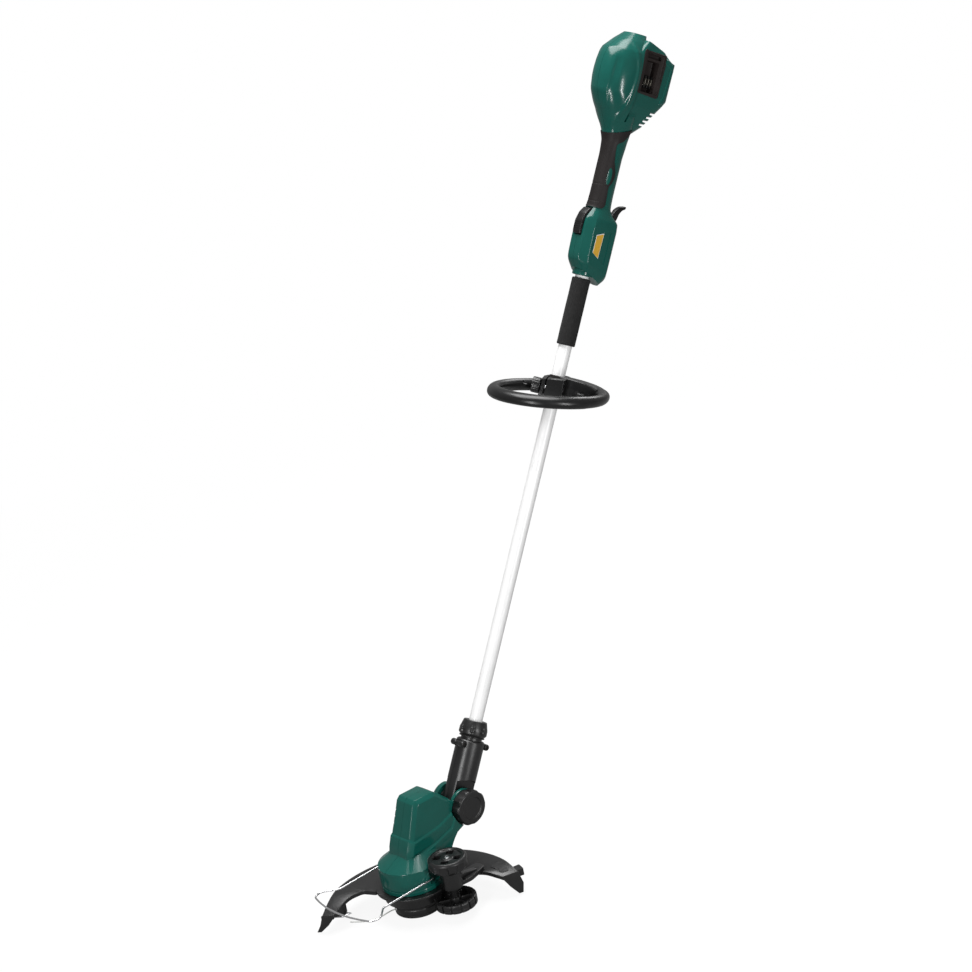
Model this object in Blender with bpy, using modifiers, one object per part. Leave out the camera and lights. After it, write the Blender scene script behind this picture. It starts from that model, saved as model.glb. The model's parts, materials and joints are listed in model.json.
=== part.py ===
"""Cordless string trimmer, jointed, in metres.

The origin is the middle of the bump knob's underside, +Z is the spool's axis, -Y is the tool's front and
+X is the user's left. The shaft leans back from the head's pivot, and what the shaft carries is placed
along it, in a frame of its own: +Z up the tube, +Y to the grip's underside.
"""
import bpy
import bmesh
from math import cos, pi, radians, sin, tan
from mathutils import Matrix, Vector

# Clearances
SEAT_GAP = 0.0003
RUN_GAP = 0.0005
SEAM_GAP = 0.0004

# Shaft and head pivot
SHAFT_LEAN = 31.5
PIVOT_BACK = 0.1135
PIVOT_HEIGHT = 0.1375
TUBE_RADIUS = 0.011
TUBE_WALL = 0.0015
TUBE_START = 0.050
LEAD_RADIUS = 0.0026

# Rear handle, stations along the shaft from the pivot
COLLAR_START = 0.868
COLLAR_LENGTH = 0.016
COLLAR_RADIUS = 0.017
TUBE_SEAT = 0.037
GRIP_HALF_WIDTH = 0.016
HOUSING_HALF_WIDTH = 0.0237
HOOD_HALF_WIDTH = 0.0415
BLOCK_HALF_WIDTH = 0.038
SHELL_WALL = 0.003
OVERMOULD_THICKNESS = 0.0013
OVERMOULD_START = 0.9785
OVERMOULD_END = 1.105
BAY_START = 1.171
BAY_LENGTH = 0.068
BAY_TOP_SIDE = -0.012
BAY_WIDTH = 0.046
BAY_DEPTH = 0.021
BLADE_LENGTH = 0.011
BLADE_PITCH = 0.0065
TRIGGER_PIVOT = (0.024, 0.960)
TRIGGER_WIDTH = 0.013
TRIGGER_PIN_RADIUS = 0.002
LOCK_WIDTH = 0.017
LOCK_START = 0.9305
LOCK_LENGTH = 0.0465
LOCK_TRAVEL = 0.003
SWITCH_START = 0.948
SWITCH_HALF = 0.008
SWITCH_TOP_SIDE = -0.010
SWITCH_UNDERSIDE = 0.013
SWITCH_LENGTH = 0.028
TRIGGER_PIN_HALF = 0.012
LOCK_SEAT = -0.019
LOCK_FLOOR = LOCK_SEAT + LOCK_TRAVEL + 0.002
LOCK_BORE_DEPTH = 0.010
LOCK_BORE_RADIUS = 0.0042
MODULE_HALF = BLOCK_HALF_WIDTH - BAY_DEPTH - 0.003
MODULE_TOP_SIDE = -0.002
MODULE_WIDTH = 0.040
MODULE_LENGTH = 0.060
FIN_START = 1.124
FIN_PITCH = 0.0075
FIN_GAP = 0.004
LABEL_DEPTH = 0.0008

# Foam sleeve and loop handle
FOAM_GAP = 0.004
FOAM_LENGTH = 0.110
FOAM_RADIUS = 0.015
LOOP_STATION = 0.688
LOOP_SWIVEL = 41.7
LOOP_TILT = 12.0
LOOP_RADIUS = 0.0858
LOOP_REACH = 0.0895
LOOP_TUBE_RADIUS = 0.010
LOOP_CLAMP_RADIUS = 0.020
LOOP_CLAMP_LEFT = 0.0215
LOOP_CLAMP_RIGHT = 0.0160
LOOP_CLAMP_FRONT = 0.0365
LOOP_CLAMP_ABOVE = 0.0145
LOOP_CLAMP_BELOW = 0.0160
LOOP_BUSH_WALL = 0.002
LOOP_SLIT = 0.0024
LOOP_BOLT_RADIUS = 0.003
LOOP_BOLT_REACH = 0.0295
LOOP_BOLT_DROP = 0.0060
LOOP_KNOB_RADIUS = 0.013
LOOP_KNOB_LENGTH = 0.013

# Pivot sleeve and clamp nut
SLEEVE_RADIUS = 0.023
SLEEVE_TOP = 0.097
NECK_RADIUS = 0.0172
NECK_TOP = 0.113
NUT_START = 0.1015
NUT_LENGTH = 0.0335
NUT_RADIUS = 0.023
COLLET_LENGTH = 0.018
TONGUE_HALF = 0.0167
ARCH_RADIUS = 0.033
EAR_RADIUS = 0.031
EAR_OUTER = 0.027
BOSS_RADIUS = 0.0043
BOSS_STATION = 0.090
SLEEVE_SCREW_RADIUS = 0.0018
PIVOT_BOLT_RADIUS = 0.004
PIVOT_KNOB_RADIUS = 0.0288
PIVOT_KNOB_LENGTH = 0.0135

# Motor housing and drive
SKIRT_RADIUS = 0.051
SKIRT_BOTTOM = 0.0488
BODY_HALF_WIDTH = 0.032
TOWER_HALF_WIDTH = 0.0275
GEAR_MODULE = 0.0015
GEAR_TEETH = 36
PINION_TEETH = 12
GEAR_BOTTOM = 0.0575
GEAR_THICKNESS = 0.006
MOTOR_RADIUS = 0.021
MOTOR_BOTTOM = 0.068
MOTOR_LENGTH = 0.070
SPINDLE_RADIUS = 0.005
BEARING_RADIUS = 0.010
BEARING_HEIGHT = 0.006
LOWER_BEARING_BOTTOM = 0.0495
UPPER_BEARING_BOTTOM = 0.066
KNOB_RELIEF_BOTTOM = 0.060
VENT_COUNT = 3
VENT_TOP = 0.1650
VENT_PITCH = 0.0110
VENT_WIDTH = 0.0045
VENT_DEPTH = 0.0045
VENT_LENGTH = 0.0180

# Guard
GUARD_TURN = 59.7
GUARD_TOP = 0.048
GUARD_PLATE = 0.003
GUARD_ARC_RADIUS = 0.1625
GUARD_ARC_OFFSET = 0.0695
GUARD_BRIM_RADIUS = 0.062
GUARD_BAND_RADIUS = 0.050
GUARD_RING_BORE = 0.046
GUARD_BAND_BOTTOM = 0.026
GUARD_LIP = 0.007
GUARD_SKIRT = 0.015
GUARD_TIP_DROP = 0.018
GUARD_FOOT_BOTTOM = 0.002
GUARD_LEFT_END = -67.3
GUARD_RIGHT_END = 79.7
GUARD_DROOP_LEFT = 47.3
GUARD_DROOP_RIGHT = 66.7
CUTTER_FROM = -57.0
CUTTER_TO = -63.9
CUTTER_HEIGHT = 0.0225

# Spool
SPOOL_RADIUS = 0.0384
SPOOL_TOP = 0.024
SPOOL_WALL = 0.003
CAP_BOTTOM = 0.0015
CAP_THICKNESS = 0.004
BUMP_RADIUS = 0.017
BUMP_TRAVEL = 0.0025
REEL_RADIUS = 0.033
REEL_HUB_RADIUS = 0.012
REEL_HEIGHT = 0.0112
WINDING_RADIUS = 0.029
EYELET_ANGLE = -162.0
EYELET_HEIGHT = 0.0115
EYELET_RADIUS = 0.0032
EYELET_BORE = 0.0019
LINE_RADIUS = 0.0010

# Plant guard wire
BAIL_HEIGHT = 0.070
BAIL_HALF_WIDTH = 0.0555
BAIL_WIRE_RADIUS = 0.0015
BAIL_REACH = 0.107
BAIL_FLARE = 0.020
BAIL_NOSE = 0.049

# Edge wheel
WHEEL_CENTRE = (0.072, 0.023)
WHEEL_RADIUS = 0.0345
WHEEL_BOTTOM = 0.016
WHEEL_HEIGHT = 0.015
WHEEL_HUB_RADIUS = 0.009
AXLE_RADIUS = 0.0035
POST_RADIUS = 0.0174
POST_BOTTOM = 0.049
POST_TOP = 0.0845
SPIGOT_RADIUS = 0.006
WHEEL_KNOB_RADIUS = 0.030
WHEEL_KNOB_HEIGHT = 0.019

# Finishes: colour, roughness, metallic
GREEN = ((0.010, 0.105, 0.082), 0.32, 0.0)
BLACK = ((0.012, 0.012, 0.013), 0.45, 0.0)
RUBBER = ((0.016, 0.012, 0.011), 0.75, 0.0)
FOAM = ((0.014, 0.013, 0.013), 0.95, 0.0)
WHITE = ((0.86, 0.86, 0.85), 0.35, 0.0)
STEEL = ((0.60, 0.60, 0.60), 0.30, 1.0)
BRASS = ((0.75, 0.60, 0.32), 0.30, 1.0)
DARK = ((0.030, 0.022, 0.020), 0.60, 0.0)
BOARD = ((0.02, 0.10, 0.05), 0.50, 0.0)
LINE = ((0.62, 0.63, 0.60), 0.40, 0.0)

parts = None
cutters = None


def start_scene():
    """Empties the scene and makes the two collections."""
    global parts, cutters
    for old in list(bpy.data.objects):
        bpy.data.objects.remove(old)
    parts = bpy.data.collections.new("string_trimmer")
    cutters = bpy.data.collections.new("cutters")
    bpy.context.scene.collection.children.link(parts)
    bpy.context.scene.collection.children.link(cutters)


def frame(name, parent=None, location=(0, 0, 0), rotation=(0, 0, 0)):
    """Makes an empty that carries pieces placed in its own axes."""
    empty = bpy.data.objects.new(name, None)
    empty.empty_display_size = 0.02
    empty.location = location
    empty.rotation_euler = rotation
    empty.parent = parent
    cutters.objects.link(empty)
    return empty


def make(name, mesh, finish, parent, at=(0, 0, 0), turn=(0, 0, 0)):
    """Adds an object, as a part with its own material or, without a finish, as a cutter."""
    obj = bpy.data.objects.new(name, mesh)
    obj.parent = parent
    obj.location = at
    obj.rotation_euler = turn
    if finish is None:
        cutters.objects.link(obj)
        obj.hide_render = True
        obj.display_type = "WIRE"
        return obj
    parts.objects.link(obj)
    colour, roughness, metallic = finish
    mat = bpy.data.materials.new(name)
    mat.use_nodes = True
    shader = mat.node_tree.nodes["Principled BSDF"]
    shader.inputs["Base Color"].default_value = (*colour, 1.0)
    shader.inputs["Roughness"].default_value = roughness
    shader.inputs["Metallic"].default_value = metallic
    mesh.materials.append(mat)
    return obj


def to_mesh(name, bm, smooth=True):
    """Writes a bmesh, faces turned outwards, as a mesh."""
    bmesh.ops.recalc_face_normals(bm, faces=bm.faces)
    mesh = bpy.data.meshes.new(name)
    bm.to_mesh(mesh)
    bm.free()
    if smooth:
        mesh.shade_smooth()
        mesh.set_sharp_from_angle(angle=radians(35))
    return mesh


def box(name, low, high, finish, parent, bevel=0.0):
    """A box between two corners."""
    bm = bmesh.new()
    bmesh.ops.create_cube(bm, size=1.0)
    size = [high[i] - low[i] for i in range(3)]
    middle = [(high[i] + low[i]) / 2 for i in range(3)]
    bmesh.ops.transform(bm, matrix=Matrix.Translation(middle) @ Matrix.Diagonal((*size, 1)), verts=bm.verts)
    if bevel > 0:
        bmesh.ops.bevel(bm, geom=bm.edges[:], offset=bevel, segments=1, affect="EDGES", profile=0.5)
    return make(name, to_mesh(name, bm, smooth=False), finish, parent)


def rod(name, radius, start, end, finish, parent, steps=24, end_radius=None, at=(0, 0, 0)):
    """A round bar or cone between two points, measured from the object's origin."""
    start, end = Vector(start), Vector(end)
    bm = bmesh.new()
    bmesh.ops.create_cone(
        bm,
        cap_ends=True,
        segments=steps,
        radius1=radius,
        radius2=radius if end_radius is None else end_radius,
        depth=(end - start).length,
    )
    turn = Vector((0, 0, 1)).rotation_difference(end - start).to_matrix().to_4x4()
    bmesh.ops.transform(bm, matrix=Matrix.Translation((start + end) / 2) @ turn, verts=bm.verts)
    return make(name, to_mesh(name, bm), finish, parent, at)


def lathe(name, profile, finish, parent, steps=32, closed=True, at=(0, 0, 0), turn=(0, 0, 0)):
    """A turned piece: the profile of (radius, height) runs down its outer side."""
    mesh = bpy.data.meshes.new(name)
    points = [(radius, 0, height) for radius, height in profile]
    edges = [(i, i + 1) for i in range(len(points) - 1)]
    if closed:
        edges.append((len(points) - 1, 0))
    mesh.from_pydata(points, edges, [])
    obj = make(name, mesh, finish, parent, at, turn)
    screw = obj.modifiers.new("turned", "SCREW")
    screw.steps = steps
    screw.render_steps = steps
    screw.use_merge_vertices = True
    screw.merge_threshold = 0.00005
    screw.use_smooth_shade = True
    return obj


def prism(name, outline, low, high, finish, parent, chamfer=0.0, at=(0, 0, 0)):
    """An outline of (y, z) points pushed along X, with a chamfer round its far end."""
    bm = bmesh.new()
    face = bm.faces.new([bm.verts.new((low, y, z)) for y, z in outline])
    pushed = bmesh.ops.extrude_face_region(bm, geom=[face])
    moved = [v for v in pushed["geom"] if isinstance(v, bmesh.types.BMVert)]
    bmesh.ops.translate(bm, vec=(high - low, 0, 0), verts=moved)
    if chamfer > 0:
        rim = [e for e in bm.edges if all(abs(v.co.x - high) < 1e-7 for v in e.verts)]
        bmesh.ops.bevel(bm, geom=rim, offset=chamfer, segments=1, affect="EDGES", profile=0.5)
    return make(name, to_mesh(name, bm, smooth=False), finish, parent, at)


def loft(name, rings, finish, parent, at=(0, 0, 0)):
    """A closed body through rings that have the same number of points."""
    bm = bmesh.new()
    loops = [[bm.verts.new(point) for point in ring] for ring in rings]
    count = len(loops[0])
    for first, second in zip(loops, loops[1:]):
        for i in range(count):
            j = (i + 1) % count
            bm.faces.new((first[i], first[j], second[j], second[i]))
    bm.faces.new(loops[0])
    bm.faces.new(loops[-1])
    return make(name, to_mesh(name, bm), finish, parent, at)


def wire(name, points, radius, finish, parent, at=(0, 0, 0), resolution=2):
    """A round wire through the points, with filled ends."""
    curve = bpy.data.curves.new(name, "CURVE")
    curve.dimensions = "3D"
    curve.bevel_depth = radius
    curve.bevel_resolution = resolution
    curve.use_fill_caps = True
    spline = curve.splines.new("POLY")
    spline.points.add(len(points) - 1)
    for point, place in zip(spline.points, points):
        point.co = (*place, 1)
    return make(name, curve, finish, parent, at)


def boolean(obj, tool, operation):
    mod = obj.modifiers.new(tool.name, "BOOLEAN")
    mod.object = tool
    mod.operation = operation
    mod.solver = "EXACT"


def cut(obj, *tools):
    for tool in tools:
        boolean(obj, tool, "DIFFERENCE")


def join(obj, *tools):
    for tool in tools:
        boolean(obj, tool, "UNION")


def keep(obj, tool):
    boolean(obj, tool, "INTERSECT")


def ring_profile(outer, inner, bottom, top, round_by=0.0):
    """The profile of a plain ring, its outer edges rounded off by one chamfer."""
    if round_by <= 0:
        return [(outer, top), (outer, bottom), (inner, bottom), (inner, top)]
    return [
        (outer - round_by, top),
        (outer, top - round_by),
        (outer, bottom + round_by),
        (outer - round_by, bottom),
        (inner, bottom),
        (inner, top),
    ]


def polar(radius, angle, height):
    """A point about Z, the angle in degrees from +Y towards +X."""
    return Vector((radius * sin(radians(angle)), radius * cos(radians(angle)), height))


def smooth_path(points, count):
    """Points at even steps of parameter on a Catmull-Rom curve through the given ones."""
    points = [Vector(p) for p in points]
    ends = [2 * points[0] - points[1], *points, 2 * points[-1] - points[-2]]
    path = []
    spans = len(points) - 1
    for i in range(count):
        along = i / (count - 1) * spans
        k = min(int(along), spans - 1)
        t = along - k
        a, b, c, d = ends[k : k + 4]
        path.append(
            0.5 * (2 * b + (c - a) * t + (2 * a - 5 * b + 4 * c - d) * t**2 + (3 * b - a - 3 * c + d) * t**3)
        )
    return path


def flutes(name, count, radius, reach, low, high, parent, at=(0, 0, 0), turn=(0, 0, 0), steps=10):
    """Upright round bars in a circle, one mesh, for scalloping a knob or nut."""
    bm = bmesh.new()
    for i in range(count):
        angle = 2 * pi * i / count
        place = Matrix.Translation((reach * cos(angle), reach * sin(angle), (low + high) / 2))
        bmesh.ops.create_cone(
            bm,
            cap_ends=True,
            segments=steps,
            radius1=radius,
            radius2=radius,
            depth=high - low,
            matrix=place,
        )
    return make(name, to_mesh(name, bm), None, parent, at, turn)


# The rear handle's outer form, as sections across the shaft: station, slant, half width, height of the
# widest line, reach to the top side, reach to the underside, and the two corner powers.
HANDLE_SECTIONS = [
    (0.8710, -0.39, 0.0155, 0.000, 0.0200, 0.0250, 2.2, 2.2),
    (0.8860, -0.25, HOUSING_HALF_WIDTH - 0.0007, 0.002, 0.0290, 0.0370, 3.2, 4.5),
    (0.9000, -0.10, HOUSING_HALF_WIDTH, 0.002, 0.0305, 0.0380, 3.6, 5.0),
    (0.9460, 0.00, HOUSING_HALF_WIDTH, 0.002, 0.0315, 0.0385, 3.6, 5.0),
    (0.9580, 0.00, HOUSING_HALF_WIDTH - 0.0007, 0.001, 0.0310, 0.0370, 3.4, 5.0),
    (0.9720, 0.00, GRIP_HALF_WIDTH + 0.003, 0.000, 0.0250, 0.0240, 2.5, 3.0),
    (0.9820, 0.00, GRIP_HALF_WIDTH + 0.0005, 0.000, 0.0205, 0.0205, 2.3, 2.3),
    (1.0050, 0.00, GRIP_HALF_WIDTH, 0.000, 0.0195, 0.0198, 2.2, 2.2),
    (1.0600, 0.00, GRIP_HALF_WIDTH, 0.000, 0.0195, 0.0198, 2.2, 2.2),
    (1.0840, 0.00, GRIP_HALF_WIDTH + 0.0015, 0.000, 0.0210, 0.0205, 2.2, 2.4),
    (1.1000, 0.00, GRIP_HALF_WIDTH + 0.0055, -0.001, 0.0260, 0.0200, 2.2, 2.4),
    (1.1200, 0.00, HOOD_HALF_WIDTH - 0.0125, -0.004, 0.0370, 0.0150, 2.2, 2.4),
    (1.1470, 0.00, HOOD_HALF_WIDTH - 0.0035, -0.010, 0.0550, 0.0060, 2.2, 2.4),
    (1.1650, 0.00, HOOD_HALF_WIDTH - 0.0010, -0.014, 0.0635, 0.0000, 2.2, 2.4),
    (1.1900, 0.00, HOOD_HALF_WIDTH, -0.016, 0.0660, -0.0020, 2.2, 2.4),
    (1.2160, 0.00, HOOD_HALF_WIDTH - 0.0015, -0.016, 0.0640, -0.0020, 2.2, 2.4),
    (1.2340, 0.00, HOOD_HALF_WIDTH - 0.0060, -0.015, 0.0550, -0.0010, 2.2, 2.4),
    (1.2480, 0.00, HOOD_HALF_WIDTH - 0.0130, -0.013, 0.0430, 0.0000, 2.2, 2.4),
    (1.2610, 0.00, HOOD_HALF_WIDTH - 0.0240, -0.009, 0.0280, 0.0070, 2.2, 2.4),
]

# The battery block under the hood: station, slant, half width, reach to both sides and corner power.
BLOCK_SECTIONS = [
    (OVERMOULD_END + 0.0015, 0.00, GRIP_HALF_WIDTH + 0.002, 0.0080, 0.0215, 3.0),
    (1.1200, 0.00, BLOCK_HALF_WIDTH - 0.0140, 0.0150, 0.0320, 4.0),
    (1.1480, 0.00, BLOCK_HALF_WIDTH - 0.0045, 0.0240, 0.0460, 5.0),
    (1.1600, 0.00, BLOCK_HALF_WIDTH - 0.0015, 0.0260, 0.0550, 6.0),
    (1.1680, 0.00, BLOCK_HALF_WIDTH, 0.0280, 0.0600, 6.0),
    (1.2290, 0.00, BLOCK_HALF_WIDTH, 0.0280, 0.0610, 6.0),
    (1.2360, -0.10, BLOCK_HALF_WIDTH - 0.0005, 0.0280, 0.0540, 6.0),
    (1.2520, -0.28, BLOCK_HALF_WIDTH - 0.0020, 0.0260, 0.0390, 6.0),
]


# The hollow under the hood follows the hood's own sections.
HOOD_VOID = [section for section in HANDLE_SECTIONS if 1.13 < section[0] < 1.25]

# The recess for the label plate on each side of the trigger housing, as (y, station) corners.
LABEL_OUTLINE = [(-0.0150, 0.9355), (0.0180, 0.9465), (0.0178, 0.8915), (-0.0160, 0.9095)]


def section_ring(section, side, steps=12, grow=0.0):
    """One ring of the handle: the half on one side, closed along the seam, or with side 0 the whole."""
    if len(section) == 6:
        station, slant, half_width, top, bottom, power = section
        middle, top_power, bottom_power = 0.005, power, power
    else:
        station, slant, half_width, middle, top, bottom, top_power, bottom_power = section
    half = []
    for i in range(steps + 1):
        angle = -pi / 2 + pi * i / steps
        power = top_power if angle < 0 else bottom_power
        across = (half_width + grow) * max(cos(angle), 0.0) ** (2 / power)
        reach = top + grow + middle if angle < 0 else bottom + grow - middle
        along = middle + (-1 if angle < 0 else 1) * reach * abs(sin(angle)) ** (2 / power)
        half.append((across, along, station + slant * along))
    if side == 0:
        other = [(-x, y, z) for x, y, z in reversed(half[1:-1])]
        return half + other
    seam = SEAM_GAP / 2
    return [(side * max(x, seam), y, z) for x, y, z in half[:-1]] + [(side * seam, half[-1][1], half[-1][2])]


def half_sections(sections, side, grow=0.0):
    return [section_ring(section, side, grow=grow) for section in sections]


def bay_box(name, side, inset, depth_from, depth_to, finish, parent):
    """A box as wide and long as the battery bay, less an inset, from one depth to another."""
    low = (side * depth_from, BAY_TOP_SIDE + inset, BAY_START + inset)
    high = (side * depth_to, BAY_TOP_SIDE + BAY_WIDTH - inset, BAY_START + BAY_LENGTH - inset)
    low, high = [min(a, b) for a, b in zip(low, high)], [max(a, b) for a, b in zip(low, high)]
    return box(name, low, high, finish, parent)


def trigger_pocket():
    y, z = TRIGGER_PIVOT
    return [
        (SWITCH_UNDERSIDE - 0.001, z - 0.008),
        (y + 0.010, z - 0.008),
        (y + 0.012, z + 0.0025),
        (y + 0.040, z + 0.0025),
        (y + 0.040, z + 0.026),
        (SWITCH_UNDERSIDE - 0.001, z + 0.026),
    ]


def handle_shell(side, name, shaft):
    """One moulded half of the rear handle, with the pockets for what it holds."""
    shell = loft(name, half_sections(HANDLE_SECTIONS, side), GREEN, shaft)
    block = loft(name + "_block", half_sections(BLOCK_SECTIONS, side), None, shaft)
    seam = side * SEAM_GAP / 2
    far = side * 0.08
    low_x, high_x = min(seam, far), max(seam, far)
    collar = lathe(
        name + "_collar",
        [
            (0, COLLAR_START + COLLAR_LENGTH),
            (COLLAR_RADIUS, COLLAR_START + COLLAR_LENGTH),
            (COLLAR_RADIUS, COLLAR_START + 0.001),
            (COLLAR_RADIUS - 0.001, COLLAR_START),
            (0, COLLAR_START),
        ],
        None,
        shaft,
        closed=False,
    )
    half_space = box(name + "_half", (low_x, -0.1, COLLAR_START - 0.02), (high_x, 0.1, 1.3), None, shaft)
    bore = rod(
        name + "_bore",
        TUBE_RADIUS + SEAT_GAP,
        (0, 0, COLLAR_START - 0.01),
        (0, 0, COLLAR_START + TUBE_SEAT + SEAT_GAP),
        None,
        shaft,
        steps=32,
    )
    lead = rod(
        name + "_lead",
        LEAD_RADIUS + SEAT_GAP,
        (0, 0, COLLAR_START),
        (0, 0, BAY_START),
        None,
        shaft,
        12,
    )
    window = bay_box(
        name + "_window",
        side,
        -SEAT_GAP,
        BLOCK_HALF_WIDTH - BAY_DEPTH - SEAT_GAP,
        0.07,
        None,
        shaft,
    )
    module = box(
        name + "_module",
        (-MODULE_HALF - SEAT_GAP, MODULE_TOP_SIDE - SEAT_GAP, BAY_START - SEAT_GAP),
        (
            MODULE_HALF + SEAT_GAP,
            MODULE_TOP_SIDE + MODULE_WIDTH + SEAT_GAP,
            BAY_START + MODULE_LENGTH + SEAT_GAP,
        ),
        None,
        shaft,
    )
    switch = box(
        name + "_switch",
        (-SWITCH_HALF - SEAT_GAP, SWITCH_TOP_SIDE - SEAT_GAP, SWITCH_START - SEAT_GAP),
        (SWITCH_HALF + SEAT_GAP, SWITCH_UNDERSIDE + SEAT_GAP, SWITCH_START + SWITCH_LENGTH + SEAT_GAP),
        None,
        shaft,
    )
    slot_half = TRIGGER_WIDTH / 2 + RUN_GAP
    slot = prism(name + "_trigger_slot", trigger_pocket(), -slot_half, slot_half, None, shaft)
    y, z = TRIGGER_PIVOT
    pin = rod(
        name + "_pin",
        TRIGGER_PIN_RADIUS + SEAT_GAP,
        (-TRIGGER_PIN_HALF - SEAT_GAP, y, z),
        (TRIGGER_PIN_HALF + SEAT_GAP, y, z),
        None,
        shaft,
        12,
    )
    lock_half = LOCK_WIDTH / 2 + RUN_GAP
    lock = box(
        name + "_lock_slot",
        (-lock_half, -0.05, LOCK_START - RUN_GAP),
        (lock_half, LOCK_FLOOR, LOCK_START + LOCK_LENGTH + RUN_GAP),
        None,
        shaft,
    )
    label_low, label_high = sorted(
        (side * (HOUSING_HALF_WIDTH - LABEL_DEPTH), side * (HOUSING_HALF_WIDTH + 0.005))
    )
    label = prism(name + "_label", LABEL_OUTLINE, label_low, label_high, None, shaft)
    void = loft(name + "_void", half_sections(HOOD_VOID, side, grow=-SHELL_WALL), None, shaft)
    spread = make(name + "_void_spread", void.data, None, shaft, at=(-side * 0.004, 0, 0))
    join(shell, block, collar)
    cut(shell, bore, lead, window, module, switch, slot, pin, lock, spread, label)
    for i in range(3):
        station = FIN_START + i * FIN_PITCH
        keep_out = box(
            name + "_fin_" + str(i),
            (-0.05, 0.030 + i * 0.0045, station),
            (0.05, 0.08, station + FIN_GAP),
            None,
            shaft,
        )
        cut(shell, keep_out)
    keep(shell, half_space)
    return shell


def build_tube(shaft):
    end = COLLAR_START + TUBE_SEAT
    profile = ring_profile(TUBE_RADIUS, TUBE_RADIUS - TUBE_WALL, TUBE_START, end)
    lathe("shaft_tube", profile, WHITE, shaft)
    foam_end = COLLAR_START - FOAM_GAP
    foam = ring_profile(FOAM_RADIUS, TUBE_RADIUS + SEAT_GAP, foam_end - FOAM_LENGTH, foam_end, 0.002)
    lathe("foam_grip", foam, FOAM, shaft, 28)
    wire(
        "motor_leads",
        [(0, 0, TUBE_START + 0.002), (0, 0, 0.35), (0, 0, 0.65), (0, 0, SWITCH_START - SEAT_GAP)],
        LEAD_RADIUS,
        DARK,
        shaft,
    )
    wire(
        "battery_leads",
        [(0, 0, SWITCH_START + SWITCH_LENGTH + SEAT_GAP), (0, 0, 1.08), (0, 0, BAY_START - SEAT_GAP)],
        LEAD_RADIUS,
        DARK,
        shaft,
    )


def build_overmould(shaft):
    """Rubber over the grip's top side, with an oval swelling and a lens window on each side."""
    covered = [s for s in HANDLE_SECTIONS if 0.96 < s[0] < 1.13]
    skin_rings = [section_ring(s, 0, grow=OVERMOULD_THICKNESS) for s in covered]
    skin = loft("grip_overmould", skin_rings, RUBBER, shaft)
    core = loft("overmould_core", [section_ring(s, 0, grow=SEAT_GAP) for s in covered], None, shaft)
    outline = [(-0.06, OVERMOULD_START), (-0.010, OVERMOULD_START), (-0.006, OVERMOULD_START + 0.012)]
    oval_middle, oval_half = 1.042, 0.025
    for i in range(9):
        angle = pi * i / 8
        outline.append((-0.006 + 0.016 * sin(angle), oval_middle - oval_half * cos(angle)))
    outline += [(-0.006, 1.076), (0.000, 1.081), (0.012, 1.083), (0.017, 1.092), (0.014, OVERMOULD_END)]
    outline.append((-0.06, OVERMOULD_END))
    region = prism("overmould_region", outline, -0.06, 0.06, None, shaft)
    lens = [(0.0005 + 0.0032 * sin(pi * i / 6), 1.033 - 0.012 * cos(pi * i / 6)) for i in range(7)]
    lens += [(0.0005 - 0.0008 * sin(pi * i / 6), 1.033 + 0.012 * cos(pi * i / 6)) for i in range(1, 6)]
    window = prism("overmould_window", lens, -0.06, 0.06, None, shaft)
    cut(skin, core)
    keep(skin, region)
    cut(skin, window)


def build_bay(side, label, shaft):
    """The battery bay's liner, its terminal block and the blades."""
    seat = BLOCK_HALF_WIDTH - BAY_DEPTH
    liner = bay_box("bay_liner_" + label, side, 0, seat, BLOCK_HALF_WIDTH + 0.0005, DARK, shaft)
    face = bay_box("bay_face_" + label, side, 0.002, BLOCK_HALF_WIDTH - 0.003, 0.06, None, shaft)
    deep_low = (side * (seat + 0.002), BAY_TOP_SIDE + 0.008, BAY_START + 0.005)
    deep_high = (side * 0.06, BAY_TOP_SIDE + BAY_WIDTH - 0.008, BAY_START + BAY_LENGTH - 0.015)
    latch_low = (side * (BLOCK_HALF_WIDTH - 0.010), BAY_TOP_SIDE + 0.008, BAY_START + BAY_LENGTH - 0.011)
    latch_high = (side * 0.06, BAY_TOP_SIDE + BAY_WIDTH - 0.008, BAY_START + BAY_LENGTH - 0.004)
    deep = sided_box("bay_deep_" + label, deep_low, deep_high, None, shaft)
    latch = sided_box("bay_latch_" + label, latch_low, latch_high, None, shaft)
    cut(liner, face, deep, latch)
    middle = BAY_TOP_SIDE + BAY_WIDTH / 2 + 0.002
    floor = seat + 0.002 + SEAT_GAP
    block_low = (side * floor, middle - 0.012, BAY_START + 0.010)
    block_high = (side * (floor + 0.004), middle + 0.012, BAY_START + 0.030)
    sided_box("terminal_block_" + label, block_low, block_high, BLACK, shaft)
    start = floor + 0.004 + SEAT_GAP
    base_low = (side * start, middle - 0.009, BAY_START + 0.012)
    base_high = (side * (start + 0.0015), middle + 0.009, BAY_START + 0.028)
    blades = sided_box("contact_blades_" + label, base_low, base_high, BRASS, shaft)
    for i in (-1, 0, 1):
        place = middle + i * BLADE_PITCH
        low = (side * (start + 0.001), place - 0.0006, BAY_START + 0.0145)
        high = (side * (start + 0.009), place + 0.0006, BAY_START + 0.0145 + BLADE_LENGTH)
        join(blades, sided_box("blade_" + label + str(i), low, high, None, shaft))


def sided_box(name, low, high, finish, parent, bevel=0.0):
    """A box from two corners given in any order."""
    lows = [min(a, b) for a, b in zip(low, high)]
    highs = [max(a, b) for a, b in zip(low, high)]
    return box(name, lows, highs, finish, parent, bevel)


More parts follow.
